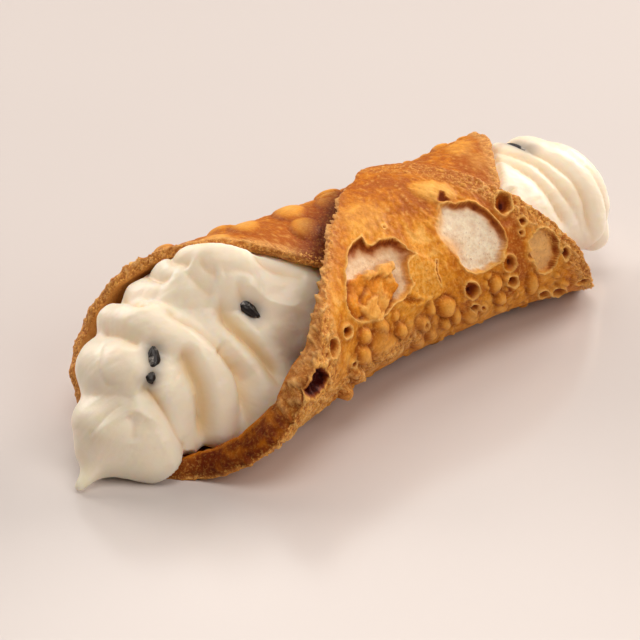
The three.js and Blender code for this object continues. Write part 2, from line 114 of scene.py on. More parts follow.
LIP_SWELL = 3.6  # how much thicker the dough is where the near lip's front has puffed up
SWELL_CURVE = (1.27, 1.08)  # exponents of the lip's line, along and round
SWELL_FADE = (0.02, 0.15)  # share of the way in from the lip over which the swelling ends
SWELL_START, SWELL_END = (1, 13), (24, 39)  # round the tube
OUTER_RINGS = 162
INNER_RINGS = OUTER_RINGS // 3
RIM_ROWS = 9
RIM_CELLS = 512  # of noise along the edge: whole tiles, so that it joins up
OUTER_MIDDLE, INNER_MIDDLE = (-4, 27), (-30, 0)  # rings crowd round these, where the dough shows most


def outline():
    """The disc's outline and the length along it, from the near lip round by the back flap."""
    turn = np.linspace(math.pi, 3 * math.pi, 4001)
    c, s = np.cos(turn), np.sin(turn)
    along, around = np.zeros_like(turn), np.zeros_like(turn)
    for (front, near), (p, q) in CORNERS.items():
        here = ((s >= 0) == front) & ((c < 0) == near)
        reach = -NEAR_REACH if near else FAR_REACH
        flap = FRONT_FLAP if front else -BACK_FLAP
        along[here] = reach * np.abs(c[here]) ** p
        around[here] = flap * np.abs(s[here]) ** q
    along += np.where(s > 0, FLAP_SKEW * s * s, 0)
    length = np.concatenate([[0], np.cumsum(np.hypot(np.diff(along), np.diff(around)))])
    return along, around, length


OUTLINE = outline()


def even_outline(count):
    along, around, length = OUTLINE
    at = np.arange(count) * length[-1] / count
    return np.interp(at, length, along), np.interp(at, length, around)


def edge_distance(along, around):
    """Roughly how far inside the disc's outline a place is, in millimetres."""
    result = np.zeros_like(along)
    for (front, near), (p, q) in CORNERS.items():
        here = ((around >= 0) == front) & ((along < 0) == near)
        reach = NEAR_REACH if near else FAR_REACH
        flap = FRONT_FLAP if front else BACK_FLAP
        u, s = np.abs(along[here]) / reach + 1e-6, np.abs(around[here]) / flap + 1e-6
        past = u ** (2 / p) + s ** (2 / q) - 1
        slope = np.hypot(2 / p * u ** (2 / p - 1) / reach, 2 / q * s ** (2 / q - 1) / flap)
        result[here] = -past / slope
    return result


def crumb(along, around):
    """How far the broken edge wanders outwards, in millimetres."""
    wander = np.sin(along * 0.55 + 1) + np.sin(around * 0.43 + along * 0.21) + np.sin(around * 0.9 + 2)
    return EDGE_CRUMB * wander / 2 * np.hypot(along, around) / NEAR_REACH


def swell(along, around):
    """1 where the near lip's front has puffed up, and 0 away from it."""
    inward = 1 - (np.maximum(-along, 0) / NEAR_REACH) ** SWELL_CURVE[0]
    inward = inward - (np.maximum(around, 0) / FRONT_FLAP) ** SWELL_CURVE[1]
    return (1 - ramp(*SWELL_FADE, inward)) * ramp(*SWELL_START, around) * (1 - ramp(*SWELL_END, around))


def wrap(along, around, below):
    """A place on the disc, wrapped into the tube, "below" deep under its outer surface."""
    angle = SEAM_ANGLE + around / TUBE_RADIUS
    sine = np.sin(angle)
    front, back = np.maximum(sine, 0), np.maximum(-sine, 0)
    underneath = np.maximum(np.cos(angle), 0)
    near = ramp(NEAR_FROM, NEAR_REACH, -along)
    far = ramp(FAR_FROM, FAR_REACH, along)
    radius = (TUBE_RADIUS + LAYER_STEP * around / (2 * math.pi * TUBE_RADIUS)
              + near * (NEAR_OPEN + NEAR_FRONT_OPEN * front - NEAR_BACK_SHUT * back)
              + far * (FAR_OPEN + FAR_FRONT_OPEN * front)
              + WAIST * (along / WAIST_REACH) ** 2 * (1 - underneath) - below
              - LIP_SWELL * swell(along, around) * np.clip(below / SHEET, 0, 1))
    height = TUBE_RADIUS - REST_SINK - radius * np.cos(angle) + near * underneath * NEAR_RISE
    return np.stack([along, -radius * sine * (1 + TUBE_OVAL), height], -1)


# --- What shows on the crust --------------------------------------------------------------------
# Places are (along, round) on the disc, in millimetres.
BLISTER = [
    (-28.7, 35.6), (-25.1, 39.8), (-21, 42.7), (-18.9, 43.6), (-16, 44.2), (-16.3, 42.7), (-15.1, 42.2),
    (-12.4, 42.6), (-8.8, 41.8), (-8.1, 40.5), (-7.5, 39.2), (-5.9, 38.1), (-7.8, 37.9), (-9.3, 37.1),
    (-10.1, 34.8), (-9.4, 33.1), (-11.4, 32), (-14.4, 31.6), (-16.4, 31.4), (-18.7, 30.4), (-20.7, 30.3),
    (-24.1, 30.8), (-27.5, 32), (-28.8, 33.2), (-29, 34.4)]
FLAKE = [
    (-26.5, 37.7), (-23.1, 38.5), (-18.8, 38.1), (-14.9, 38), (-12.6, 38.2), (-13.3, 36.9), (-13.5, 35.2),
    (-12.4, 34), (-14.2, 32.8), (-15.6, 31.9), (-17.3, 31.6), (-19, 30.6), *BLISTER[20:], BLISTER[0]]
# Scraps of torn skin that lie on it, from the lowest up: outline, height, how light from 0 to 1.
SCRAPS = [
    ([(-20.3, 33.9), (-17.8, 33.3), (-16.7, 32.2), (-17.7, 31.2), (-18.9, 30.7), (-20.4, 31.9)],
     0.35, 0.9),
    ([(-25.4, 33.4), (-22.6, 33.6), (-21, 34.2), (-20.2, 33.5), (-20.5, 32.3), (-19.4, 31), (-19, 30.3),
      (-20.9, 30.4), (-22.8, 30.5), (-24.3, 31.7), (-25.2, 32.6)], 0.75, 1),
    ([(-21.3, 37.8), (-20.1, 38.3), (-16.7, 38.2), (-14.5, 38.7), (-12.5, 38.5), (-12.8, 37.2),
      (-13.9, 36.3), (-15.7, 36.3), (-18.2, 37.1), (-20.5, 37.2)], 0.9, 0.75)]
CRACKS = [
    [(-26, 38.4), (-26.4, 36.9), (-28.1, 35.5), (-28.6, 34), (-28, 32.9), (-26.8, 31.9), (-25.3, 31.6)],
    [(-18.9, 30.5), (-17.4, 31.1), (-16, 31.6), (-15.1, 32.1)],
    [(-21.8, 35.9), (-23.5, 35.3), (-24.7, 34.6)]]
SKIN = [
    (-7.8, 37.9), (-5.1, 37.9), (-3.2, 36.3), (-2, 34.8), (-1.7, 32.9), (-1.8, 30.7), (-2.8, 28.5),
    (-5, 27.8), (-8, 28.2), (-10.7, 29), (-12.9, 30.5), (-14.1, 31.7), *BLISTER[16:12:-1]]
SKIN_HOLLOW = [
    (-14.1, 31.7), (-11.4, 32), (-9.4, 30.5), (-7.2, 29.2), (-8.6, 28.6), (-11, 29.1), (-12.9, 30.5)]
BIG_BLISTER = [
    (4.3, 43.1), (6.4, 44.5), (8.2, 44.3), (9.8, 43.5), (11.5, 43.2), (13.1, 43.1), (14.1, 42.3),
    (15.1, 41.1), (16.1, 39.8), (16.8, 37.9), (17.3, 35.9), (17.4, 33.8), (16.4, 32.5), (15.1, 31.2),
    (14.1, 30.3), (12, 29.9), (9.7, 29.8), (7.5, 30.2), (5.5, 31.3), (4.5, 32.6), (4.2, 34.1),
    (3.3, 35.6), (2.4, 37.1), (1.8, 38.3), (1.5, 39.6), (2.2, 41.5)]
SMALL_BLISTER = [
    (23, 31.8), (24.6, 32.9), (26.2, 33.5), (27.8, 33.1), (29.2, 31.9), (30.2, 30.2), (30.5, 28),
    (29.8, 25.8), (28.8, 24.3), (27.2, 23.8), (25.2, 24.9), (24, 27), (23.1, 29.6)]
LIP_HOLE = [
    (-43.4, 28.9), (-42.1, 29), (-40.7, 28.1), (-39.3, 26.7), (-40, 25.9), (-42, 25.9), (-44, 25.8),
    (-45.6, 26.1), (-46.8, 27.1), (-45.8, 27.5), (-44.4, 27.8), (-44.2, 28.6)]
TORN_HOLE = [(8.1, 46.8), (9.2, 46.7), (9, 45.7), (9.3, 44.9), (7.7, 45), (6.6, 45.6)]
OVAL_CORNERS = 24


def oval_outline(along, around, half_length, half_width, turn):
    """The ragged outline of a blister that popped."""
    c, s = math.cos(turn), math.sin(turn)
    corners = []
    for k in range(OVAL_CORNERS):
        t = 2 * math.pi * k / OVAL_CORNERS
        reach = 1 + 0.1 * math.sin(3 * t + 1) + 0.06 * math.sin(7 * t)
        a, b = half_length * reach * math.cos(t), half_width * reach * math.sin(t)
        corners.append((along + a * c - b * s, around + a * s + b * c))
    return corners


BACK_BLISTER = oval_outline(12, -30, 8.5, 5.5, -0.6)
LOW_BLISTER = oval_outline(-26, -22, 5.5, 3.5, -0.9)
TOP_VALLEY = [(12.3, 57.4), (13.4, 53.8), (14.6, 50.5), (15.8, 48.2), (16.7, 45.7), (17.7, 41.2)]
FAR_VALLEY = [(20.3, 38.1), (20.7, 35.9), (20, 33.1), (19.3, 30.8), (20.6, 27.6), (21.6, 25)]
SKIN_EDGE = [(-1.3, 35), (-2.2, 33.7), (-2.3, 31.9), (-1.8, 30.7)]
STAINED_FLOOR = (4.3, 36, 2.6, 2.2, 0)  # along, round, half length, half width, turn

# Whole blisters: along, round, half length, half width, turn in degrees, height.
DOMES = [
    (-0.7, 25.3, 3.2, 2.1, -43, 1.3), (-7.1, 23.6, 2.9, 1.6, -48, 1.0), (-14, 25, 2.4, 1.4, -55, 1.0),
    (-15.6, 28.7, 1.3, 1.0, -52, 0.5), (-20.3, 27.7, 3.2, 2.1, -59, 0.9), (-25.6, 28.3, 2.3, 1.6, -36, 0.9),
    (-26, 24.9, 3.1, 1.7, -41, 1.0), (-17.5, 21.9, 8.4, 3.1, -42, 0.8), (-6.9, 18.7, 4.4, 1.5, -52, 0.9),
    (-3, 18.9, 3.6, 1.2, -58, 0.7), (0.2, 20.4, 2.4, 1.1, -52, 0.8), (-5, 26.4, 2, 1.2, -66, 0.7),
    (3, 21.4, 3.3, 1.2, -65, 0.7), (8.3, 18.8, 4.2, 1.6, -45, 0.7), (13.5, 25.4, 2.7, 1.5, -73, 0.8),
    (15.8, 21.1, 2.8, 1.4, -55, 0.9), (24.8, 21.5, 4.2, 1.4, -66, 0.7), (18.4, 16.4, 4, 1.3, -41, 0.5),
    (34.3, 18.9, 2.3, 1.2, -32, 0.6), (-26.8, 20.7, 4.2, 1.5, -43, 1.2), (-29.5, 17.8, 3.4, 1.6, -46, 1.8),
    (-18.8, -54.5, 6, 3.6, 56, 0.9), (-22.2, -63.2, 4.4, 3.2, 42, 0.7), (-10.5, -56.7, 4, 2.6, 57, 0.5),
    (-30, -54, 7, 3.2, 57, 0.5), (-40, -58, 4, 3, 60, 0.3)]
# Low soft swellings, the same.
SWELLINGS = [(7.8, 47.6, 4.9, 3.0, -20, 0.7), (28.9, -55.4, 6, 3.4, 49, 0.3), (26.5, -63, 4, 2.4, 42, 0.25),
             (-12, 48, 7, 4, 5, 0.3), (30, 38, 4, 3, 0, 0.3)]
# Popped ones with a raised ring: the same, then the depth of the hole and how dark its painted shade is.
RINGS = [
    (-6.4, 23.2, 1.5, 0.9, -50, 0.35, 0.3, 0.15), (6.3, 26.7, 2.5, 1.7, -49, 0.45, 0.7, 0.8),
    (8, 21.9, 1.8, 0.9, -50, 0.4, 0.6, 0.6), (30, 16.7, 2.7, 1.3, -44, 0.5, 0.5, 0.45),
    (34.8, 15.6, 3.2, 1.5, -40, 0.5, 0.6, 0.6), (39.6, 18.2, 2.2, 1.1, -15, 0.4, 0.5, 0.7),
    (20.6, 40.3, 2.7, 1.9, 30, 0.6, 1.1, 0.95), (23.1, 35.8, 1.1, 0.9, 0, 0.4, 0.9, 0.8),
    (21.9, 34.1, 0.8, 0.7, 0, 0.4, 0.6, 0.6), (23, 29.1, 1.2, 0.9, -85, 0.4, 0.4, 0.5),
    (32.3, 27, 1.7, 1.0, -78, 0.4, 0.9, 0.85), (17, 29.2, 2.1, 1.7, -42, 0.5, 0.45, 0.3),
    (18.1, 24.8, 2.1, 1.2, -39, 0.45, 0.6, 0.6), (-31, 31.1, 1.5, 1.1, -6, 0.5, 1.4, 1),
    (-36.1, 30.1, 1.8, 1.5, 0, 0.4, 1.1, 0.5), (-29.3, 24.6, 1.3, 0.7, -35, 0.3, 0.7, 0.8),
    (-9.1, 44.8, 0.5, 0.4, 20, 0.1, 0.6, 0.8), (11.1, 20.3, 1.2, 0.6, -46, 0.3, 0.3, 0.4),
    (-48.2, 28.2, 0.8, 0.4, -17, 0.1, 0.6, 0.8), (-53, 28.2, 1.8, 0.6, -18, 0.2, 0.7, 0.7)]
RIM_WIDTH = 0.32
RAGGED = 0.25  # how far the outlines of blisters wander
# Dark hollows inside a ring: along, round, half length, half width, turn.
HOLLOWS = [
    (6.6, 26.1, 1.4, 0.9, -57), (7.4, 21.9, 1.1, 0.5, -45), (21.3, 40.1, 1.8, 1.0, 43),
    (17.9, 29.1, 0.9, 0.6, -77), (18.5, 24.6, 1.0, 0.5, -39), (-36.4, 31, 1.2, 0.7, 0)]
# Browner or paler places: along, round, half length, half width, turn, shade from -1 to 1.
PATCHES = [
    (0.6, 54.2, 3, 1.6, -20, -0.7), (14.4, 53.2, 1.4, 1.0, 15, -1), (19, 45, 3.4, 1.8, 20, -0.7),
    (18.8, 21.4, 2.4, 1.4, -50, -1), (34, 33, 8, 5, -60, -0.4), (38, 22, 6, 5, -50, -0.4),
    (19.5, 32, 3, 7, 0, -0.5), (-27.2, 32.6, 1.3, 0.8, -10, -1), (-9.5, 21.5, 1.6, 3.2, 20, -0.8),
    (7.6, 47.8, 5, 3, -20, 1), (-3.2, 41.1, 3, 3, 20, 0.6), (-8, 50, 9, 4, 0, 0.35),
    (-12, 45, 8, 4, 10, 0.3), (2, 31, 4, 4, 0, -0.2),
    (-21.7, -71.1, 9, 2.4, 46, -1), (-18.8, -54.5, 5, 3, 56, 0.5), (-15.4, -55.2, 1.4, 0.6, 53, -1),
    (-8.4, -56.7, 3.4, 2, 57, 0.9), (24, -62, 5, 2.5, 42, -0.6), (22.5, -61.7, 1.3, 0.8, 42, -1),
    (28.9, -55.4, 5.9, 3, 49, 0.4)]
# Blisters by chance: seed, how many, stretch along and round, least and most half length, height.
SCATTERED_DOMES = [
    (301, 70, (-58, 46), (-50, 6), (1.2, 4), 1.3), (302, 90, (-62, 48), (-50, 12), (0.6, 1.3), 0.5),
    (303, 90, (-34, 46), (12.5, 29), (0.5, 1.1), 0.4), (304, 14, (-30, 20), (40, 57), (0.5, 1), 0.25),
    (305, 16, (-50, 10), (-72, -50), (1.2, 3), 0.5)]
SCATTERED_RINGS = (306, 14, (-56, 44), (-48, 8), (1.0, 2.4), 0.5)
INNER_FLAP_FROM = -50
DOME_SWELL = 1.2
PATCH_SHADE, VALLEY_SHADE = 0.7, 0.5
# Strength of the painted shade in the undercuts of broken blisters.
UNDERCUT_SHADE = 0.58
FAR_FROM_RIMS = 2.0
SKIN_ROUGH, INNER_ROUGH = 0.32, 0.4  # how crumbly the material makes them look

# Colours as they look on a screen, 0 to 255.
# Painted shade: the darkest, in holes, slits, undercuts and beneath the outer flap.
HOLE_SHADE = (58, 5, 1)
# The smooth lip's dark glaze, deepened as painted shadow by the cream.
GLAZE_AND_SHADOW = (92, 24, 2)
DEEP = (112, 40, 2)
CHESTNUT = (146, 64, 8)
BROWN = (172, 88, 14)
AMBER = (206, 120, 12)
ORANGE = (238, 148, 36)
GOLD = (235, 156, 42)
LIGHT_GOLD = (250, 190, 98)
PALE = (255, 240, 212)
# Painted highlight on raised rims, and pale grains on the lip's gravel.
PALE_GRAIN_AND_HIGHLIGHT = (252, 200, 118)
TAN = (238, 186, 116)
SHADED_FLOOR = (238, 208, 170)
CLOUD = (200, 152, 106)
CREAM = (247, 233, 212)
# Painted shade in the cream's folds.
FOLD_SHADE = (234, 205, 152)
STAINED_CREAM = (150, 142, 134)
CHOCOLATE = (22, 13, 11)
# Cream smeared on the chips, and painted highlights on them.
SMEAR_AND_HIGHLIGHT = (196, 188, 180)
FLOOR = (215, 208, 206)
FLOOR_SHADE = (209, 201, 198)


def linear(colour):
    """The shares of red, green and blue light in a colour that is given as it looks on a screen."""
    c = np.array(colour) / 255
    return np.where(c <= 0.04045, c / 12.92, ((c + 0.055) / 1.055) ** 2.4)


def overlaid(colour, other, share):
    """Colours with a share of another one over them."""
    return mix(colour, linear(other), share[:, None])


def ellipse(along, around, spot):
    """0 in the middle of a spot (along, round, half length, half width, turn) and 1 on its edge."""
    turn = math.radians(spot[4])
    a, b = along - spot[0], around - spot[1]
    return np.hypot((a * math.cos(turn) + b * math.sin(turn)) / spot[2],
                    (b * math.cos(turn) - a * math.sin(turn)) / spot[3])


def line_distance(along, around, points):
    best = np.full(along.shape, FAR_AWAY)
    for (a, b), (c, d) in zip(points, points[1:]):
        t = np.clip(((along - a) * (c - a) + (around - b) * (d - b)) / ((c - a) ** 2 + (d - b) ** 2), 0, 1)
        best = np.minimum(best, np.hypot(along - a - t * (c - a), around - b - t * (d - b)))
    return best


def inside(along, around, corners):
    """Distance to a closed outline, positive inside it."""
    within = np.zeros(along.shape, bool)
    for (a, b), (c, d) in zip(corners, corners[1:] + corners[:1]):
        if b != d:
            within ^= ((b > around) != (d > around)) & (along < (c - a) * (around - b) / (d - b) + a)
    return np.where(within, 1, -1) * line_distance(along, around, corners + corners[:1])


class Crust:
    """The relief and the colour of the crust's outer surface, at many places at once."""

    def __init__(self, along, around):
        self.along, self.around = along, around
        self.lift = np.zeros_like(along)
        self.colour = np.zeros(along.shape + (3,))
        self.pale = np.zeros_like(along)
        self.rough = np.full_like(along, SKIN_ROUGH)
        # Fields that the material cuts sharply: distance out of the nearest raised rim, whether that rim's
        # painted highlight shows, and how deep in painted shade a place is.
        self.rim = np.full_like(along, FAR_FROM_RIMS)
        self.rimmed = np.ones_like(along)
        self.painted_shade = np.zeros_like(along)
        self.u = along + RAGGED * self.noise(2.3, 11, 2)
        self.s = around + RAGGED * self.noise(2.3, 17, 2)
        self.torn = self.noise(1.9, 71, 2)
        self.edge = edge_distance(along, around)
        # How far beneath the outer flap a place on the inner one lies: negative where it shows.
        self.cover = np.where(around < INNER_FLAP_FROM, edge_distance(along, around + FULL_TURN), -FAR_AWAY)

    def noise(self, cell, seed, octaves=4, gain=0.5):
        return fractal(self.along, self.around, cell, seed, octaves, gain)

    def inside(self, corners):
        return inside(self.u, self.s, corners)

    def to_line(self, points):
        return line_distance(self.u, self.s, points)

    def in_spot(self, spot):
        return ellipse(self.u, self.s, spot)

    def paint(self, colour, share):
        """Lay a colour over what is there, 0 to 1 strong."""
        self.colour = overlaid(self.colour, colour, np.clip(share, 0, 1))

    def deepen_painted_shade(self, depth, most=1):
        """Deepen the painted shade of the dark places, which shows from about 0.3 on and is nearly black at
        1.
        """
        self.painted_shade = np.maximum(self.painted_shade, np.clip(depth, 0, most))

    def add_rim(self, gap):
        self.rim = np.minimum(self.rim, gap)

    def base(self):
        """How brown the dough is, from 0 to 1, and its low unevenness."""
        along, around = self.along, self.around
        tone = 0.56 + 0.24 * self.noise(11, 31, 5, 0.6) + 0.26 * self.noise(1.9, 37, 4, 0.6)
        # Diagonal streaks where the dough was stretched round the tube.
        tone += 0.06 * fractal(along * 0.35 + around * 0.2, around * 1.4 - along, 4, 41, 3)
        for spot in PATCHES:
            tone += PATCH_SHADE * spot[5] * (1 - ramp(0.2, 1.3, self.in_spot(spot)))
        # Lighter up the front and browner on the top: painted light and painted shade for how the lamps
        # light them.
        tone += 0.08 * ramp(8, 14, around) * (1 - ramp(34, 40, around)) - 0.36 * ramp(38, 50, around)
        for valley, width in ((TOP_VALLEY, 2.6), (FAR_VALLEY, 2.2)):
            tone -= VALLEY_SHADE * bell(self.to_line(valley), width)
        # Painted shade on the inner flap, which lies in the outer flap's shadow.
        tone -= 0.5 * ramp(-40, -60, around)
        tone = np.clip(tone, 0, 1)
        self.paint(BROWN, np.ones_like(along))
        self.paint(AMBER, ramp(0.05, 0.45, tone))
        self.paint(GOLD, ramp(0.35, 0.8, tone))
        self.paint(LIGHT_GOLD, 0.8 * ramp(0.7, 1.0, tone))
        crumbs = self.noise(1.1, 53, 3)
        self.lift += 0.22 * self.noise(9, 51, 3) + 0.13 * crumbs
        self.paint(LIGHT_GOLD, 0.45 * ramp(0.2, 0.9, crumbs))
        self.paint(CHESTNUT, 0.3 * ramp(0.2, 0.9, -crumbs))
        self.rough += 0.12 * (1 - ramp(24, 38, np.abs(around - 4)))

    def domes(self, spots):
        """Whole blisters, with a paler top and a dark line round the foot: browner dough, and painted shade
        in the crease.
        """
        for spot in spots:
            height = spot[5]
            b = self.in_spot(spot)
            gap = (b - 1) * min(spot[2], spot[3])
            top = np.clip(1 - b * b, 0, 1) ** 0.65
            dimple = 0.2 * height * bell(gap - 0.2, 0.4)
            self.lift = np.maximum(self.lift - dimple, DOME_SWELL * height * top - FAR_AWAY * (b > 1))
            self.paint(CHESTNUT, min(0.75, 0.8 * height) * bell(gap - 0.15, 0.4))
            self.paint(AMBER, 0.5 * min(1, height) * (1 - ramp(0.9, 1, b)))
            self.paint(GOLD, 0.6 * ramp(0.3, 0.8, top))
            self.paint(LIGHT_GOLD, 0.6 * top ** 3)

    def swellings(self, spots):
        """Low soft swellings, a little paler than the rest."""
        for spot in spots:
            b = self.in_spot(spot)
            self.lift += spot[5] * np.clip(1 - b * b, 0, 1) ** 0.8
            self.paint(LIGHT_GOLD, spot[5] * (1 - ramp(0.5, 1.2, b)))

    def rings(self, spots):
        """Popped blisters: a raised rim, with a painted highlight, round a hole with painted shade, darker
        on its far side.
        """
        for spot in spots:
            height, depth, hole_shade = spot[5:]
            radius = min(spot[2], spot[3])
            b = self.in_spot(spot)
            gap = (b - 1) * radius
            rim = bell(gap, RIM_WIDTH)
            within = 1 - ramp(-2 * RIM_WIDTH, 0, gap)
            shaded = ramp(-0.8, 0.8, (self.u - spot[0]) / radius)
            self.lift = self.lift * ramp(0.6, 1.3, b) + height * rim * (1.2 + 0.3 * self.torn)
            self.lift -= depth * within
            # A browner line round the rim's foot, partly painted shade; amber in the hole, with painted
            # shade on its far side; a painted highlight on the rim.
            self.paint(CHESTNUT, 0.3 * bell(gap - 2.5 * RIM_WIDTH, RIM_WIDTH))
            self.paint(AMBER, 0.6 * within)
            self.paint(CHESTNUT, 0.7 * within * shaded)
            self.paint(LIGHT_GOLD, 0.5 * rim)
            self.add_rim(gap)
            self.rough *= 1 - 0.7 * within
            # Painted shade in the hole, deepest a little towards its far side.
            heart = ellipse(self.u - 0.3 * radius, self.s, spot)
            self.deepen_painted_shade(mix(0.4, 1, hole_shade) * np.clip(1.1 - heart, 0, 1) * ramp(0, 0.4, -gap))

    def hollows(self):
        """The deepest places inside some of the rings, darkened with painted shade."""
        for spot in HOLLOWS:
            b = self.in_spot(spot)
            self.lift -= 0.6 * (1 - ramp(0.5, 1, b))
            self.deepen_painted_shade(1.3 - b)

    def opened(self, corners, depth, floor, rim, undercut, side, open_side=None):
        """A big blister whose skin has broken away from its floor.

        side is the direction, in degrees, in which the floor goes on beneath the skin, and
        open_side the one in which the floor rises to the skin instead of being broken off it."""
        d = self.inside(corners)
        middle = np.mean(np.array(corners), 0)
        direction = np.arctan2(self.s - middle[1], self.u - middle[0])
        shaded = ramp(0.05, 0.8, np.cos(direction - math.radians(side)))
        skin = np.ones_like(d)
        if open_side is not None:
            skin = 1 - ramp(0.45, 0.95, np.cos(direction - math.radians(open_side)))
        in_floor = ramp(-0.1, 0.4, d)
        on_floor = ramp(-0.1, 0.2, d)
        self.lift = mix(self.lift, -depth + 0.1 * self.torn, ramp(0, 1, d / mix(2.5, 0.5, skin)))
        self.lift += skin * rim * (1.3 * bell(d + 0.2, 0.28) + 0.4 * bell(d + 1, 1.4))
        pale = in_floor * ramp(0, 1, (d - 0.3 * self.torn) / mix(4, 0.5, skin))
        self.paint(TAN, 0.8 * in_floor)
        self.paint(floor, pale)
        self.pale = np.maximum(self.pale, pale)
        # Painted shade in the undercut beneath the skin, on the given side: an amber band, chestnut over
        # it, and dark a little way in.
        below = shaded * skin * (1 - ramp(0, undercut, d + 0.25 * self.torn))
        band = 1 - ramp(0.3, 0.5 + 1.1 * undercut * shaded, d)
        self.paint(AMBER, 0.8 * skin * on_floor * band * mix(0.4, 1, shaded))
        self.paint(CHESTNUT, 0.75 * below * on_floor)
        # A painted highlight along the skin's broken rim.
        self.paint(LIGHT_GOLD, 0.6 * skin * bell(d + 0.25, 0.27))
        self.add_rim(-(d + 0.2))
        self.rimmed *= 1 - (1 - skin) * (1 - ramp(1.5, 2.5, np.abs(d)))
        self.deepen_painted_shade(UNDERCUT_SHADE * np.minimum(np.clip(2.5 * d + 0.7, 0, 1), below))
        self.pale *= 1 - below
        return d

    def blisters(self):
        self.opened(BACK_BLISTER, 0.9, PALE, 0.4, 1.2, 200)
        self.opened(LOW_BLISTER, 0.8, TAN, 0.4, 1, 120)
        self.opened(BIG_BLISTER, 1.0, PALE, 0.4, 1.2, 40, open_side=165)
        self.paint(ORANGE, 0.6 * self.pale * bell(self.in_spot(STAINED_FLOOR), 1))
        self.opened(SMALL_BLISTER, 0.7, TAN, 0.45, 1.1, -15)
        broken = self.opened(BLISTER, 1.0, SHADED_FLOOR, 0.35, 2.4, 75)
        self.scraps(broken)
        self.whole_skin(broken)

    def whole_skin(self, broken):
        """Whole skin beside the left blister, with a broken edge of its own."""
        raised = ramp(-0.4, 0.5, self.inside(SKIN)) * (1 - ramp(-0.3, 0.3, broken))
        crumbs = self.noise(0.9, 75, 3)
        self.lift += raised * (0.45 + 0.12 * crumbs)
        self.paint(GOLD, 0.6 * raised)
        self.paint(LIGHT_GOLD, 0.7 * raised * ramp(-0.2, 0.7, crumbs))
        self.rough = np.maximum(self.rough, 0.6 * raised)
        self.painted_shade *= 1 - raised
        # Painted shade in the slit along the skin's broken edge, and a painted highlight on the rim beside
        # it.
        edge = self.to_line(SKIN_EDGE)
        self.deepen_painted_shade(0.62 - 1.3 * edge)
        self.add_rim(edge - 0.45)
        # A hollow in the skin, painted darker as shade the deeper it goes.
        hollow = self.inside(SKIN_HOLLOW)
        self.lift += 0.3 * bell(hollow + 0.3, 0.35) - 0.7 * ramp(0, 0.9, hollow)
        self.paint(AMBER, 0.9 * ramp(0, 0.5, hollow))
        self.paint(CHESTNUT, 0.7 * ramp(0.3, 1, hollow))

    def scraps(self, broken):
        """Torn scraps of skin that lie in layers on the lower half of a blister's floor."""
        within = ramp(-0.3, 0.3, broken)
        rough = self.noise(3.4, 73, 4, 0.6)
        ragged = 0.45 * self.noise(1.3, 77, 3)
        on = ramp(-0.1, 0.3, self.inside(FLAKE) + ragged) * within
        self.lift = mix(self.lift, 0.15 + 0.35 * rough, on)
        self.paint(AMBER, on)
        self.paint(ORANGE, on * ramp(-0.5, 0.3, rough))
        self.paint(CHESTNUT, 0.5 * on * ramp(0.3, 1, -rough))
        self.paint(LIGHT_GOLD, 0.6 * on * ramp(0.3, 0.8, rough))
        for corners, height, light in SCRAPS:
            d = self.inside(corners) + ragged
            plate = ramp(-0.15, 0.15, d) * within
            # Painted shadow round the foot of each scrap.
            self.paint(CHESTNUT, 0.35 * bell(d + 0.3, 0.35) * within)
            self.lift = mix(self.lift, height + 0.2 * rough, plate)
            self.paint(ORANGE, 0.8 * plate)
            self.paint(LIGHT_GOLD, plate * light * (0.4 + 0.4 * ramp(-0.5, 0.6, rough)))
            # A painted highlight along each scrap's edge.
            self.paint(LIGHT_GOLD, 0.6 * within * bell(d - 0.2, 0.2))
        # Cracks between the scraps, with painted shade in them.
        for crack in CRACKS:
            gap = self.to_line(crack)
            self.lift -= 0.4 * bell(gap, 0.4) * within
            self.paint(CHESTNUT, 0.85 * bell(gap, 0.5) * within)
        self.pale *= 1 - on
        self.painted_shade *= 1 - on

    def holes(self):
        """The hole in the near lip, and the small torn one on the top: painted shade inside them, and a
        painted highlight on the raised rim round the lip's hole.
        """
        d = self.inside(LIP_HOLE)
        self.lift += 0.35 * bell(d + 0.6, 0.35) - 1.5 * ramp(-0.25, 0.6, d)
        self.paint(LIGHT_GOLD, 0.7 * bell(d + 0.6, 0.3))
        self.paint(HOLE_SHADE, ramp(-0.2, 0, d))
        self.rough *= 1 - ramp(-0.45, -0.3, d)
        self.deepen_painted_shade(1.25 * d + 0.75)
        d = self.inside(TORN_HOLE)
        self.lift -= 0.8 * ramp(-0.1, 0.3, d)
        self.paint(BROWN, ramp(-0.2, 0.1, d))
        self.deepen_painted_shade(d + 0.4, most=0.8)

    def lips(self):
        """The broken edge of the dough: crumbly, and puffed up along the near front."""
        along, around = self.along, self.around
        grain = self.noise(1.1, 81, 3)
        crumbs = ramp(0.1, 0.6, grain)
        wide = 1.6 * ramp(14, 24, around) * ramp(0, 15, -along)
        band = 1 - ramp(0.8, 2.8 + wide + 0.8 * self.torn, self.edge)
        top_far = 0.8 * ramp(40, 50, around) * ramp(-25, -5, along)
        back = 0.45 * ramp(5, -10, around)
        low_near = 0.75 * (1 - ramp(13, 19, around)) * ramp(-10, 0, around) * ramp(20, 40, -along)
        smooth = np.maximum(np.maximum(top_far, back), low_near)
        puff = ramp(0, 12, -along) * ramp(14, 20, around) * (1 - ramp(33, 42, around))
        gravel = ramp(-32, -37, along) * ramp(16, 19, around) * (1 - ramp(33, 38, around))
        ridge = np.maximum(puff * bell(around - 21, 3), 0.9 * gravel)
        crumbly = np.clip(band + ridge, 0, 1)
        standing = crumbly * (1 - smooth)
        self.lift += standing * (0.05 + 0.14 * grain + 0.4 * crumbs) + 0.8 * puff * bell(self.edge - 3, 3)
        self.paint(AMBER, 0.7 * standing)
        self.paint(TAN, standing * mix(0.3, 1, crumbs))
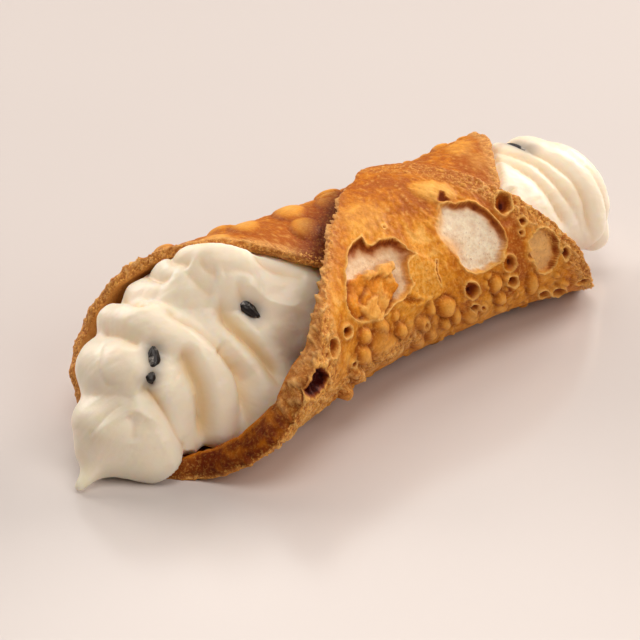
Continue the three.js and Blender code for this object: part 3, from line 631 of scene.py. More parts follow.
        # The gravel's highest crumbs: pale grains, with a painted highlight on their tops.
        self.paint(PALE_GRAIN_AND_HIGHLIGHT, 0.5 * gravel * standing * crumbs)
        self.paint(TAN, 0.35 * band * ramp(5, -10, around))
        self.paint(CHESTNUT, 0.85 * standing * ramp(0.05, 0.6, -grain))
        self.rough = np.maximum(self.rough, crumbly * (1 - 0.5 * smooth))

    def tuck_in(self):
        """The inner flap goes beneath the outer one: nothing stands up there, and painted shadow darkens it
        by the outer flap's edge.
        """
        room = mix(2.2, 0.35, ramp(-2.5, -0.3, self.cover))
        self.lift = np.clip(self.lift, np.where(self.cover > -0.5, -0.6, -FAR_AWAY), room)
        self.paint(DEEP, 0.9 * ramp(-6, -0.5, self.cover))
        self.paint(HOLE_SHADE, 0.6 * ramp(-1.5, 0.5, self.cover))


def scattered(seed, count, along, around, size, height):
    """Blisters by chance over a stretch of the crust, lying aslant as the others do."""
    pick = np.random.default_rng(seed)
    spots = []
    for _ in range(count):
        half = pick.uniform(*size)
        spots.append((pick.uniform(*along), pick.uniform(*around), half, half * pick.uniform(0.5, 0.9),
                      pick.uniform(-65, -25), height * pick.uniform(0.6, 1.2) * half / size[1]))
    return spots


def dress(along, around):
    """The crust at the given places, built up in the order in which its marks lie on each other."""
    crust = Crust(along, around)
    crust.base()
    for scatter in SCATTERED_DOMES:
        crust.domes(scattered(*scatter))
    crust.domes(DOMES)
    crust.swellings(SWELLINGS)
    crust.rings([(*spot, 0.7, 0.7) for spot in scattered(*SCATTERED_RINGS)])
    crust.lips()
    crust.rings(RINGS)
    crust.hollows()
    crust.blisters()
    crust.holes()
    crust.tuck_in()
    return crust


# --- Mesh building --------------------------------------------------------------------------------
def make_piece(name, points, triangles, attributes, material, slot, replaces):
    """A smooth mesh from points in millimetres, with named values for its material to read."""
    mesh = bpy.data.meshes.new(name)
    mesh.vertices.add(len(points))
    mesh.vertices.foreach_set("co", (points * MM).astype(np.float32).ravel())
    mesh.loops.add(triangles.size)
    mesh.loops.foreach_set("vertex_index", triangles.astype(np.int32).ravel())
    mesh.polygons.add(len(triangles))
    mesh.polygons.foreach_set("loop_start", np.arange(0, triangles.size, 3, dtype=np.int32))
    mesh.polygons.foreach_set("use_smooth", np.ones(len(triangles), bool))
    mesh.update(calc_edges=True)
    mesh.validate()
    for key, values in attributes.items():
        if values.ndim == 2:
            layer = mesh.attributes.new(key, "FLOAT_COLOR", "POINT")
            layer.data.foreach_set("color", np.c_[values, np.ones(len(values))].astype(np.float32).ravel())
        else:
            layer = mesh.attributes.new(key, "FLOAT", "POINT")
            layer.data.foreach_set("value", values.astype(np.float32))
    mesh.materials.append(material)
    piece = bpy.data.objects.new(name, mesh)
    bpy.context.scene.collection.objects.link(piece)
    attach(piece, "root")
    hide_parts(replaces)
    return piece


def disc_triangles(rings, first, flip):
    """Triangles of a disc whose ring i has 6 i points."""
    result = []

    def start(ring):
        return first + 1 + 3 * ring * (ring - 1) if ring else first

    for ring in range(1, rings + 1):
        outer_count, inner_count = 6 * ring, max(6 * (ring - 1), 1)
        wedge, j = np.divmod(np.arange(outer_count), ring)
        outer, inner = wedge * ring + j, wedge * (ring - 1) + j
        a = start(ring) + outer
        b = start(ring) + (outer + 1) % outer_count
        c = start(ring - 1) + inner % inner_count
        result.append(np.stack([a, b, c], -1))
        more = j < ring - 1
        d = start(ring - 1) + (inner + 1) % inner_count
        result.append(np.stack([c, b, d], -1)[more])
    triangles = np.concatenate(result)
    return triangles[:, [0, 2, 1]] if flip else triangles


def disc_places(rings, middle):
    """Places on the disc in rings out of its middle, the last one along the broken edge."""
    along, around = [np.full(1, middle[0])], [np.full(1, middle[1])]
    for ring in range(1, rings + 1):
        edge_along, edge_around = even_outline(6 * ring)
        out = 1 + crumb(edge_along, edge_around) / np.hypot(edge_along, edge_around)
        along.append(mix(middle[0], edge_along * out, ring / rings))
        around.append(mix(middle[1], edge_around * out, ring / rings))
    return np.concatenate(along), np.concatenate(around)


def inner_surface():
    """The inner side of the dough: its points and colour."""
    along, around = disc_places(INNER_RINGS, INNER_MIDDLE)
    near_edge = edge_distance(along, around)
    lift = 0.18 * fractal(along, around, 3, 95, 3)
    lift = lift + 0.15 * fractal(along, around, 0.9, 99, 2) * (1 - ramp(1, 5, near_edge))
    points = wrap(along, around, SHEET + np.clip(lift, -0.3, 0.35))
    tone = 0.35 + 0.3 * fractal(along, around, 8, 91, 4) + 0.35 * (1 - ramp(0, 4, near_edge))
    colour = mix(linear(DEEP), linear(AMBER), ramp(0.1, 0.8, tone)[:, None])
    by_back_lip = 0.4 * (1 - ramp(0, 7, near_edge)) * ramp(0, 20, -around)
    return points, overlaid(colour, TAN, by_back_lip)


def broken_edge(along, around, lift):
    """The broken edge, in rows from the outer surface to the inner one: points, colour and roughness."""
    reach = np.hypot(along, around)
    length = OUTLINE[2][-1]
    cell = length / RIM_CELLS
    way = np.arange(len(along)) * length / len(along)
    puffed = swell(along, around)
    thick = SHEET + LIP_SWELL * puffed
    knobbly = ramp(21, 29, around + 4 * fractal(way, 0 * way, cell * 8, 115, 2)) * ramp(0, 10, -along)
    rows = []
    for row in range(1, RIM_ROWS):
        t = row / RIM_ROWS
        grain = fractal(way, t * thick, cell, 101, 3)
        crumbs = ramp(0.1, 0.7, grain)
        lumps = knobbly * ramp(0.1, 0.6, fractal(way, t * thick, cell * 2, 113, 3))
        groove = puffed * bell(t - 0.24, 0.1)
        bulge = (0.35 + 0.7 * puffed) * math.sin(math.pi * t)
        out = 1 + (bulge + 0.12 * grain + 0.15 * crumbs - 0.5 * groove + 0.7 * lumps) / reach
        points = wrap(along * out, around * out, SHEET * t + mix(-lift, 0, t))
        smooth = puffed * ramp(0.1, 0.3, t) * (1 - 0.8 * knobbly)
        # The smooth face of the puffed lip: dark glaze with amber, and painted shadow deepening it low
        # round the tube, by the cream.
        glaze_lightness = fractal(way, t * thick * 1.5, cell * 4, 109, 4, 0.7)
        glaze_lightness = ramp(-0.3, 1.0, glaze_lightness + 0.6 * ramp(11, 20, around) - 0.45)
        colour = mix(linear(BROWN), linear(AMBER), ramp(-0.6, 0.5, grain)[:, None])
        colour = overlaid(colour, TAN, (1 - smooth) * mix(0.3, 0.9, crumbs))
        colour = overlaid(colour, CHESTNUT, 0.4 * (1 - smooth) * ramp(0, 0.6, -grain))
        glazed = mix(linear(GLAZE_AND_SHADOW), linear(AMBER), (0.6 * glaze_lightness)[:, None])
        colour = mix(colour, glazed, smooth[:, None])
        colour = overlaid(colour, TAN, 0.9 * lumps)
        # Painted shade in the groove along the lip's edge.
        colour = overlaid(colour, DEEP, 0.6 * groove)
        rows.append((points, colour, 1 - 0.7 * smooth - 0.45 * knobbly * (1 - smooth)))
    return [np.concatenate(part) for part in zip(*rows)]


def shell_faces(outer_count, inner_count):
    """The outer disc, the inner one, the rows between them and the seam where three meet one."""
    count = 6 * OUTER_RINGS
    inner_first = outer_count + count * (RIM_ROWS - 1)
    faces = [disc_triangles(OUTER_RINGS, 0, False), disc_triangles(INNER_RINGS, inner_first, True)]
    step = np.arange(count)
    here = outer_count - count + step
    following = outer_count - count + (step + 1) % count
    for row in range(RIM_ROWS - 1):
        low = outer_count + row * count + step
        low_following = outer_count + row * count + (step + 1) % count
        faces += [np.stack([here, low, following], -1), np.stack([following, low, low_following], -1)]
        here, following = low, low_following
    few = 6 * INNER_RINGS
    each = np.arange(few)
    inner_edge = inner_first + inner_count - few
    a, b, c, d = (here[0] + (3 * each + k) % count for k in range(4))
    low, low_following = inner_edge + each, inner_edge + (each + 1) % few
    faces += [np.stack([a, low, b], -1), np.stack([b, low, low_following], -1),
              np.stack([b, low_following, c], -1), np.stack([c, low_following, d], -1)]
    return np.concatenate(faces)


def shell_mesh():
    along, around = disc_places(OUTER_RINGS, OUTER_MIDDLE)
    crust = dress(along, around)
    outer = wrap(along, around, -crust.lift)
    count = 6 * OUTER_RINGS
    edge, edge_colour, edge_rough = broken_edge(along[-count:], around[-count:], crust.lift[-count:])
    inner, inner_colour = inner_surface()
    points = np.concatenate([outer, edge, inner])
    points[:, 2] = np.maximum(points[:, 2], 0)
    others = np.zeros(len(points) - len(outer))
    values = {
        "albedo": np.concatenate([crust.colour, edge_colour, inner_colour]),
        "pale": np.concatenate([crust.pale, others]),
        "crumbly": np.concatenate([crust.rough, edge_rough, np.full(len(inner), INNER_ROUGH)]),
        "rim": np.concatenate([crust.rim, others + FAR_FROM_RIMS]),
        "rimmed": np.concatenate([crust.rimmed, others]),
        "painted_shade": np.concatenate([crust.painted_shade, others])}
    return points, shell_faces(len(outer), len(inner)), values


# --- Cream ------------------------------------------------------------------------------------------
STROKES = [  # blend, then points of x, y, z and radius
    (3, [(-64, 0, 12.5, 10), (-45, -1, 15.5, 12), (-20, 0, 16.5, 18), (20, 0, 17, 18), (38, 0, 17, 16),
        (45, -1, 17.5, 12)]),
    (4, [(-61.5, 7, 17.5, 6), (-51.5, 8, 24, 6), (-40.5, 5, 26, 6)]),
    (4, [(-72.5, -5, 8.5, 6.5), (-69.5, -9, 6.5, 6)]),
    (3, [(-73, -1, 9, 5.5), (-71, -5.4, 10, 6), (-67.3, -9.6, 7.4, 5.6), (-67, -13, 4, 4.3)]),
    (3, [(-75, -2, 10, 4.8), (-76, -4, 6, 3.7), (-79, -6, 3.5, 2.2), (-83.5, -7, 1.3, 1)]),
    (3, [(-77, -4, 5, 4), (-73.5, -9, 4, 3.5), (-70, -12, 3, 3.5)]),
    (4, [(-68.5, 5, 17, 5.5), (-67, -3, 18.5, 7), (-63, -8, 15, 6.2), (-61, -11, 6.2, 4.4)]),
    (1.6, [(-62, 9, 23, 4), (-60.5, 0, 24.5, 6), (-56, -6, 21, 6.5), (-54, -11, 13.5, 6),
        (-54.5, -14, 6.5, 4.5)]),
    (1.6, [(-54.5, 11, 25, 3.5), (-51.5, 3, 26.5, 5.5), (-46, -5, 21, 7.5), (-42.5, -11, 13.5, 7),
        (-44.5, -15.5, 8.5, 6), (-49, -15.5, 4.5, 4.5)]),
    (2, [(-49, 9, 28, 4.5), (-46, 3, 33, 4.5), (-43, -1.5, 34, 5), (-38, -3, 31.5, 5.5),
        (-36.5, -5, 28, 6), (-36, -7, 22, 7)]),
    (2.5, [(-33, -4.5, 28.5, 6), (-29.5, -7, 24, 7.5), (-32.5, -7.5, 17.5, 7)]),
    (4, [(43.5, -1, 24, 10), (48.5, -4, 21.5, 10.3), (51, -6, 17.5, 9), (51.5, -9, 15, 6.5)]),
    (4, [(53, -4, 17, 8.5), (57, -4, 13, 6.5), (59, -5, 9.5, 5), (60, -6, 7.5, 4)]),
]
CREASES = [  # depth, width, then points of x, y and z
    (1.0, 3, [(-66.4, 8.1, 22.7), (-66.8, 4, 24.3), (-66.8, -1.3, 25.7), (-65.5, -5, 25.3)]),
    (0.5, 4, [(-76.5, 2, 14), (-75.6, -0.1, 15.5), (-74.5, -3.9, 17.1), (-72.8, -7.4, 17.9),
        (-71.2, -9.5, 17.3)]),
    (1.9, 3, [(-70.4, -9.9, 20.4), (-69.5, -10.7, 19.2), (-68.2, -12, 16.7), (-66.8, -13.4, 13.1),
        (-66, -15.1, 9.7), (-64.9, -16, 6.6), (-64, -16.5, 2)]),
    (-1.3, 5, [(-79.5, -5.2, 8.5), (-78, -6.6, 11.8), (-75.5, -8.4, 14.3), (-72, -9.8, 16),
        (-69.8, -11.8, 14.6), (-68, -14, 12.4), (-67, -15.3, 9.9), (-65.7, -16.3, 7), (-65, -16.6, 3)]),
    (2.4, 3.2, [(-59.7, -9.5, 25.6), (-59.4, -11, 23.4), (-59.1, -12.6, 20.3), (-58.5, -14.2, 17),
        (-58.6, -15, 13), (-59.1, -15.2, 8.7), (-59.5, -15.1, 3)]),
    (1.8, 3, [(-52.5, -11.5, 23), (-51.7, -12.4, 21.8), (-50.6, -13.4, 19.3), (-49.6, -14.1, 16.7),
        (-49.8, -15.9, 13), (-51, -18, 5)]),
    (1.0, 4, [(-58.2, -1.2, 30.2), (-57.6, -5.7, 29.2), (-55, -8.7, 27), (-53.1, -11.1, 24.3),
        (-51.6, -12.7, 21.4)]),
    (2.6, 3.5, [(-47.7, -5.1, 29.8), (-48, -8.7, 27.4), (-47.1, -11.2, 25.2), (-45.6, -13.5, 22.6),
        (-43.9, -15.6, 19.3), (-43, -17.6, 16.3), (-43.1, -19.1, 12)]),
    (0.8, 3, [(-50.9, 0.7, 32), (-50.4, -2.9, 30.6), (-48.7, -5.7, 29.4)]),
    (0.9, 2.5, [(-48.3, -0.1, 36.9), (-48.2, -2.5, 35.4), (-47.5, -3.9, 33.5), (-46.6, -3.8, 30.9)]),
    (1.2, 2.5, [(-56.5, 13.2, 24.2), (-59.1, 10.5, 26.5), (-60, 7, 28), (-61.1, 2.5, 30.2),
        (-59.3, -0.1, 30.4)]),
    (1.2, 2.5, [(-50.2, 13.2, 28.2), (-52.8, 10.5, 30.5), (-53.4, 5.5, 31.6), (-52, 2.2, 32)]),
    (1.2, 2.5, [(-47.4, 8.7, 32.5), (-50, 6, 34.8), (-49.8, 2, 35.1), (-49.6, 0.1, 33.8)]),
    (0.5, 2, [(-46.3, -5.2, 33.1), (-45.6, -5.8, 34.6), (-43.7, -6.6, 35), (-41.1, -7.6, 33.8),
        (-39.8, -8.7, 31.7)]),
    (1.0, 3, [(-39.1, -4.5, 37.7), (-37.5, -7.3, 34.9), (-35.2, -8.8, 32.7), (-32, -9.9, 30.9),
        (-29.2, -11.6, 30.1)]),
    (-0.7, 3, [(-43, -7.6, 31), (-40.9, -8.7, 29.7), (-38.8, -11.2, 28), (-35, -13.4, 26.6),
        (-32, -13.5, 27)]),
    (0.4, 1.5, [(-78.6, -6.4, 12), (-77, -6.9, 13.8), (-75, -7.3, 15.3), (-73.1, -8.4, 16.6)]),
    (0.3, 1.2, [(-79.6, -5.6, 10.6), (-78, -6.3, 13.1), (-75.8, -6.8, 14.9)]),
    (0.6, 3, [(-73.5, -9.5, 15), (-73, -10.9, 13), (-73.2, -11.5, 10)]),
    (0.35, 2, [(-68.9, 3.4, 23.9), (-72.1, 0.8, 23.2), (-73.9, -1.4, 20.9), (-73.9, -4.3, 19.2),
        (-72.1, -7.4, 20.7)]),
    (0.9, 3.2, [(-63, -6.5, 25.6), (-65.7, -8.2, 24), (-67.9, -10.4, 21.6), (-68.5, -11.5, 19.5)]),
    (1.0, 3, [(-44.5, -6, 29.5), (-42.9, -8.7, 27.2), (-41.5, -10.5, 25)]),
    (1.3, 3.6, [(41, 15, 12), (38, 13, 22), (34, 7, 29), (33, 0, 30.5), (37, -9, 28.5), (40, -13, 21.5),
        (43, -14, 16.5)]),
    (1.3, 3.6, [(48, 12, 9), (44, 13, 18), (39, 9, 28), (36, 2, 32.5), (40, -8, 31.5), (43, -13, 25.5),
        (48, -14, 12.5)]),
    (1.2, 3.6, [(54, 7, 7), (51, 10, 14), (46, 9, 24), (42, 4, 31), (41, -3, 34.5), (46, -12, 29.5),
        (49, -15, 17.5), (51, -14, 10.5)]),
    (0.8, 3, [(57, 3, 9), (54, 6, 17), (49, 3, 27), (50, -6, 26), (54, -11, 17), (56, -10, 9)]),
]
CREASE_TAPER = 0.18  # share of a crease over which each of its ends runs out
AXIS_NEAR, AXIS_FAR = np.array([-60, 0, 13.5]), np.array([46, -2, 14.5])
NEAR_POLE, FAR_POLE = np.array([-23.5, -6.5, -12.3]), np.array([10, -1, -3])
CREAM_GAP, PLATE_GAP = 0.45, 0.1
LIP_MARGIN, TIP_MARGIN, COVERED_FROM = 1, 4, -72
CREAM_SIDES = 280
STATIONS = [(0, 0), (110, 0.34), (124, 0.8), (156, 1)]
NEAR_CAP_RINGS, FAR_CAP_RINGS = 90, 50
STEEPEST = 1.5  # rise of the cream's surface over a run of 1, measured out of the axis
TOP_SOFTER, TOP_FROM = 0.6, (25, 31)  # how much less it is on the top lobe, and from what height
FILL_PASSES, SMOOTH_PASSES = 30, 10
MARCH_STEP, MARCH_END, HALVINGS = 1.5, 45, 7  # finding the room: outwards in steps, then by halving
INWARD_STEPS, INWARD_SHARE, CLOSE_ENOUGH = 45, 0.85, 0.02  # finding the surface: inwards again
SMUDGE_REACH = 2.4
CHIP_RINGS, CHIP_SIDES = 23, 32
# Chocolate chips: name, place next to them, direction, length, width, depth in the cream, seed.
CHIPS = [
    ("chip_front", (-65.7, -8.4, 24.2), (0.3, 0.35, 0.9), 5.2, 2.9, 0.45, 201),
    ("chip_front_low", (-67.9, -10.4, 21.6), (0.7, 0.1, 0.5), 2.4, 2, 0.2, 203),
    ("chip_back", (-42.9, -8.2, 27.5), (0.38, -0.8, -0.46), 7.6, 3, -0.35, 207),
    ("chip_far", (41, 0.1, 34.2), (0.22, -0.97, 0.05), 7, 2.2, 0.85, 211)]


def smooth_line(points, steps):
    """Points along a smooth curve (Catmull-Rom) through the given ones."""
    points = np.array(points, float)
    knots = np.vstack([2 * points[0] - points[1], points, 2 * points[-1] - points[-2]])
    line = []
    for a, b, c, d in zip(knots, knots[1:], knots[2:], knots[3:]):
        straight, bend, turn = c - a, 2 * a - 5 * b + 4 * c - d, 3 * b - a - 3 * c + d
        for t in np.arange(steps) / steps:
            line.append(b + (straight + bend * t + turn * t * t) * t / 2)
    line.append(points[-1])
    return np.array(line)


STROKE_LINES = [(blend, smooth_line(points, 6)) for blend, points in STROKES]
CREASE_LINES = [(depth, width, smooth_line(points, 5)) for depth, width, points in CREASES]


def unit(v):
    return v / np.linalg.norm(v, axis=-1, keepdims=True)


def stroke_distance(points, line):
    """Distance out of one stroke, whose points hold x, y, z and a radius."""
    nearest = np.full(len(points), FAR_AWAY)
    for start, end in zip(line, line[1:]):
        span, offset = end[:3] - start[:3], points - start[:3]
        t = np.clip(offset @ span / (span @ span), 0, 1)
        gap = np.sqrt(((offset - t[:, None] * span) ** 2).sum(-1))
        nearest = np.minimum(nearest, gap - start[3] - t * (end[3] - start[3]))
    return nearest


def on_axis(point):
    """The place on the cream's axis that is nearest to a point."""
    axis = AXIS_FAR - AXIS_NEAR
    return AXIS_NEAR + axis * np.clip((point - AXIS_NEAR) @ axis / (axis @ axis), 0, 1)


def crease_depth(points):
    """How deep the creases between the cream's lobes are at the points, in millimetres."""
    total = np.zeros(len(points))
    for depth, width, line in CREASE_LINES:
        near = np.nonzero(((points > line.min(0) - 10) & (points < line.max(0) + 10)).all(-1))[0]
        nearest = np.full(len(near), FAR_AWAY)
        fade = np.zeros(len(near))
        for k, (start, end) in enumerate(zip(line, line[1:])):
            middle = (start + end) / 2
            outward = unit(middle - on_axis(middle))
            span = end - start
            span = span - outward * (span @ outward)
            offset = points[near] - start
            height = offset @ outward
            across = offset - height[:, None] * outward
            t = np.clip(across @ span / (span @ span), 0, 1)
            gap = np.sqrt(((across - t[:, None] * span) ** 2).sum(-1)) + np.maximum(np.abs(height) - 8, 0)
            share = (k + t) / (len(line) - 1)
            here = ramp(0, CREASE_TAPER, share) * (1 - ramp(1 - CREASE_TAPER, 1, share))
            fade = np.where(gap < nearest, here, fade)
            nearest = np.minimum(nearest, gap)
        total[near] += depth * fade * np.maximum(1 - nearest / width, 0) ** 2
    return total


def cream_distance(points):
    """Distance out of the piped strokes, blended where they meet."""
    distance = np.full(len(points), FAR_AWAY)
    for blend, line in STROKE_LINES:
        following = stroke_distance(points, line)
        overlap = np.maximum(blend - np.abs(distance - following), 0) / blend
        distance = np.minimum(distance, following) - overlap * overlap * blend / 4
    return distance


def past_shell(points):
    """How far points are past the room that the shell leaves for the cream."""
    x, y, z = points.T
    across = -y / (1 + TUBE_OVAL)
    near = ramp(NEAR_FROM, NEAR_REACH, -x)
    middle_down = TUBE_RADIUS - REST_SINK
    down = middle_down - z
    for _ in range(3):
        underneath = np.maximum(down, 0) / np.hypot(across, down)
        down = middle_down - z + near * underneath * NEAR_RISE
    angle, radius = np.arctan2(across, down), np.hypot(across, down)
    past = np.full(len(points), -FAR_AWAY)
    for turn in (-2, -1, 0, 1):
        around = TUBE_RADIUS * (angle + 2 * math.pi * turn - SEAM_ANGLE)
        real = (around < FRONT_FLAP + 2 * TIP_MARGIN) & (around > -BACK_FLAP - 2 * TIP_MARGIN)
        if not real.any():
            continue
        wall = wrap(x[real], around[real], SHEET + CREAM_GAP)
        rise = near[real] * np.maximum(np.cos(angle[real]), 0) * NEAR_RISE
        wall_down = middle_down - wall[:, 2] + rise
        room = np.hypot(wall[:, 1] / (1 + TUBE_OVAL), wall_down)
        beyond = np.where(around[real] < COVERED_FROM, TIP_MARGIN, LIP_MARGIN)
        outside = np.maximum(-beyond - edge_distance(x[real], around[real]), 0)
        past[real] = np.maximum(past[real], radius[real] - room - 1.5 * outside)
    return np.maximum(past, PLATE_GAP - z)


def cream_surface(origins, directions):
    """How far out the cream's surface is, and how far the room goes that the shell leaves for it."""
    reach = np.full(len(origins), MARCH_STEP)
    going = np.ones(len(origins), bool)
    while going.any() and reach.max() < MARCH_END:
        index = np.nonzero(going)[0]
        free = past_shell(origins[index] + directions[index] * reach[index, None]) < 0
        going[index[~free]] = False
        reach[index[free]] += MARCH_STEP
    low = reach - MARCH_STEP
    for _ in range(HALVINGS):
        middle = (low + reach) / 2
        free = past_shell(origins + directions * middle[:, None]) < 0
        low, reach = np.where(free, middle, low), np.where(free, reach, middle)
    room = low
    reach = low.copy()
    going = np.ones(len(origins), bool)
    for _ in range(INWARD_STEPS):
        index = np.nonzero(going)[0]
        if not len(index):
            break
        distance = cream_distance(origins[index] + directions[index] * reach[index, None])
        reach[index] -= np.maximum(distance, 0) * INWARD_SHARE
        going[index[distance < CLOSE_ENOUGH]] = False
    return reach, room


def without_cliffs(origins, directions, reach, room, lean):
    """Fill the hollows beneath overhangs, which rays out of the axis can't follow, except by the poles."""
    shape = (-1, CREAM_SIDES)
    start, way = origins.reshape(*shape, 3), directions.reshape(*shape, 3)
    first, most = reach.reshape(shape), room.reshape(shape)
    filled = first
    height = (start + way * first[..., None])[..., 2]
    steepest = (STEEPEST + 9 * ramp(0.5, 0.9, lean))[:, None] - TOP_SOFTER * ramp(*TOP_FROM, height)
    for _ in range(FILL_PASSES):
        for axis, step in ((0, 1), (0, -1), (1, 1), (1, -1)):
            beside = np.roll(filled, step, axis)
            turned = (np.roll(way, step, axis) - way) * beside[..., None]
            apart = np.roll(start, step, axis) - start + turned
            lowered = beside - steepest * np.linalg.norm(apart, axis=-1)
            if axis == 0:
                lowered[0 if step == 1 else -1] = 0
            filled = np.maximum(filled, np.minimum(lowered, most))
    changed = ramp(0.02, 0.3, filled - first)
    for _ in range(SMOOTH_PASSES):
        around = (np.roll(filled, 1, 1) + np.roll(filled, -1, 1)) / 2
        along = filled.copy()
        along[1:-1] = (filled[2:] + filled[:-2]) / 2
        filled = mix(filled, (filled + around + along) / 3, changed)
    return np.minimum(filled, most).ravel()


def on_cream(beside):
    """The place on the cream's surface next to a given one, and the direction out of the cream there."""
    inner = on_axis(np.array(beside))
    outward = unit(np.array(beside) - inner)
    reach, _ = cream_surface(inner[None], outward[None])
    place = inner + outward * reach[0]
    return place - outward * crease_depth(place[None])[0], outward


def cream_rays():
    """Rays out of the cream's axis: in rings, then one at each pole. Also how far each ring leans."""
    rings = [(0, 1 - i / NEAR_CAP_RINGS, NEAR_POLE) for i in range(1, NEAR_CAP_RINGS)]
    for (first_ring, first), (last_ring, last) in zip(STATIONS, STATIONS[1:]):
        for ring in range(first_ring, last_ring):
            rings.append((mix(first, last, (ring - first_ring) / (last_ring - first_ring)), 0, FAR_POLE))
    rings += [(1, i / FAR_CAP_RINGS, FAR_POLE) for i in range(FAR_CAP_RINGS)]
    even = 2 * math.pi * np.arange(CREAM_SIDES) / CREAM_SIDES
    angle = even - 0.45 * np.sin(even - 2.2)  # closer together at the front and top
    sides = np.stack([0 * angle, -np.sin(angle), -np.cos(angle)], -1)
    origins, directions = [], []
    for at, lean, pole in rings:
        origins.append(np.tile(mix(AXIS_NEAR, AXIS_FAR, at), (CREAM_SIDES, 1)))
        out = sides * math.cos(lean * math.pi / 2) + unit(pole) * math.sin(lean * math.pi / 2)
        directions.append(unit(out))
    origins.append(np.array([AXIS_NEAR, AXIS_FAR]))
    directions.append(np.array([unit(NEAR_POLE), unit(FAR_POLE)]))
    return np.concatenate(origins), np.concatenate(directions), np.array([lean for _, lean, _ in rings])


def ring_faces(rings, sides):
    """Triangles over rings of points, closed at both ends by the two points that follow them."""
    side = np.arange(sides)
    following = (side + 1) % sides
    last, tip = (rings - 1) * sides, rings * sides
    faces = [np.stack([np.full_like(side, tip), side, following], -1),
             np.stack([np.full_like(side, tip + 1), last + following, last + side], -1)]
    for start in range(0, last, sides):
        a, b = start + side, start + following
        c, d = a + sides, b + sides
        faces += [np.stack([a, c, b], -1), np.stack([b, c, d], -1)]
    return np.concatenate(faces)


def smudges(points):
    """1 at the chips and 0 away from them, where the chocolate has stained the cream."""
    smudge = np.zeros(len(points))
    for _, beside, toward, length, *_ in CHIPS:
        middle, _ = on_cream(beside)
        long = unit(np.array(toward, float))
        offset = points - middle
        aside = offset - np.clip(offset @ long, -length / 3, length / 3)[:, None] * long
        smudge = np.maximum(smudge, bell(np.linalg.norm(aside, axis=1), SMUDGE_REACH))
    return smudge


def cream_mesh():
    origins, directions, leans = cream_rays()
    reach, room = cream_surface(origins, directions)
    reach[:-2] = without_cliffs(origins[:-2], directions[:-2], reach[:-2], room[:-2], leans)
    fold = crease_depth(origins + directions * reach[:, None])
    points = origins + directions * np.minimum(reach - fold, room)[:, None]
    ripple = 0.1 * fractal(points[:, 0], points[:, 1] * 1.3 + points[:, 2], 3.2, 131, 3)
    points = points + directions * np.minimum(ripple - 0.08, 0.05)[:, None]
    points[:, 2] = np.maximum(points[:, 2], PLATE_GAP)
    return points, ring_faces(len(leans), CREAM_SIDES), {"fold": fold, "smudge": smudges(points)}


# --- Materials --------------------------------------------------------------------------------------
def new_material(name):
    material = bpy.data.materials.new(name)
    material.use_nodes = True
    tree = material.node_tree
    return material, tree, tree.nodes["Principled BSDF"]


def node(tree, kind, **inputs):
    made = tree.nodes.new(kind)
    for key, value in inputs.items():
        made.inputs[key.replace("_", " ")].default_value = value
    return made


def noise(tree, scale, detail=4, roughness=0.6):
    place = tree.nodes.new("ShaderNodeTexCoord")
    made = node(tree, "ShaderNodeTexNoise", Scale=scale, Detail=detail, Roughness=roughness)
    tree.links.new(place.outputs["Object"], made.inputs["Vector"])
    return made.outputs["Fac"]


def attribute(tree, name, output="Fac"):
    made = tree.nodes.new("ShaderNodeAttribute")
    made.attribute_type = "GEOMETRY"
    made.attribute_name = name
    return made.outputs[output]


def spread(tree, value, low, high, to_low=0.0, to_high=1.0):
    """A value brought from one range to another, and kept inside it."""
    made = node(tree, "ShaderNodeMapRange", From_Min=low, From_Max=high, To_Min=to_low, To_Max=to_high)
    tree.links.new(value, made.inputs["Value"])
    return made.outputs["Result"]


def combined(tree, operation, a, b=0.0):
    """The result of a Math node on two outputs, or on an output and a number."""
    made = tree.nodes.new("ShaderNodeMath")
    made.operation = operation
    tree.links.new(a, made.inputs[0])
    if isinstance(b, float):
        made.inputs[1].default_value = b
    else:
        tree.links.new(b, made.inputs[1])
    return made.outputs[0]


def times(tree, a, b):
    return combined(tree, "MULTIPLY", a, b)


def tinted(tree, base, colour, share):
    """A colour, given or out of a node, over another one."""
    made = tree.nodes.new("ShaderNodeMix")
    made.data_type = "RGBA"
    for value, socket in ((share, made.inputs[0]), (base, made.inputs[6]), (colour, made.inputs[7])):
        if isinstance(value, bpy.types.NodeSocket):
            tree.links.new(value, socket)
        elif isinstance(value, float):
            socket.default_value = value
        else:
            socket.default_value = (*linear(value), 1)
    return made.outputs[2]


def bumped(tree, shader, height, strength, distance):
    made = node(tree, "ShaderNodeBump", Strength=strength, Distance=distance)
    tree.links.new(height, made.inputs["Height"])
    tree.links.new(made.outputs["Normal"], shader.inputs["Normal"])


def setting(shader, socket, value):
    shader.inputs[socket].default_value = value


def glowing(shader, weight, radius, scale):
    """Light that goes in and comes out again a little way off."""
    setting(shader, "Subsurface Weight", weight)
    setting(shader, "Subsurface Radius", radius)
    setting(shader, "Subsurface Scale", scale)


def speckled(tree, base, colour, texture, edges, strength):
    """Specks or clouds of a colour, where a texture of noise rises from the first edge to the second."""
    specks = spread(tree, noise(tree, *texture), *edges)
    return tinted(tree, base, colour, times(tree, specks, strength))


def crust_grain(tree, colour, crumbly):
    """Mottling of the smooth skin, and pale grains and dark pits where it is crumbly."""
    mottled, grainy, pitted = (spread(tree, crumbly, *share) for share in (
        (0, 0.2, 0, 0.3), (0.2, 1, 0, 0.85), (0, 1, 0, 0.8)))
    colour = speckled(tree, colour, BROWN, (750, 5, 0.65), (0.38, 0.68), mottled)
    colour = speckled(tree, colour, LIGHT_GOLD, (2100, 3, 0.5), (0.52, 0.64), grainy)
    return speckled(tree, colour, CHESTNUT, (1700, 3, 0.6), (0.58, 0.7), pitted)


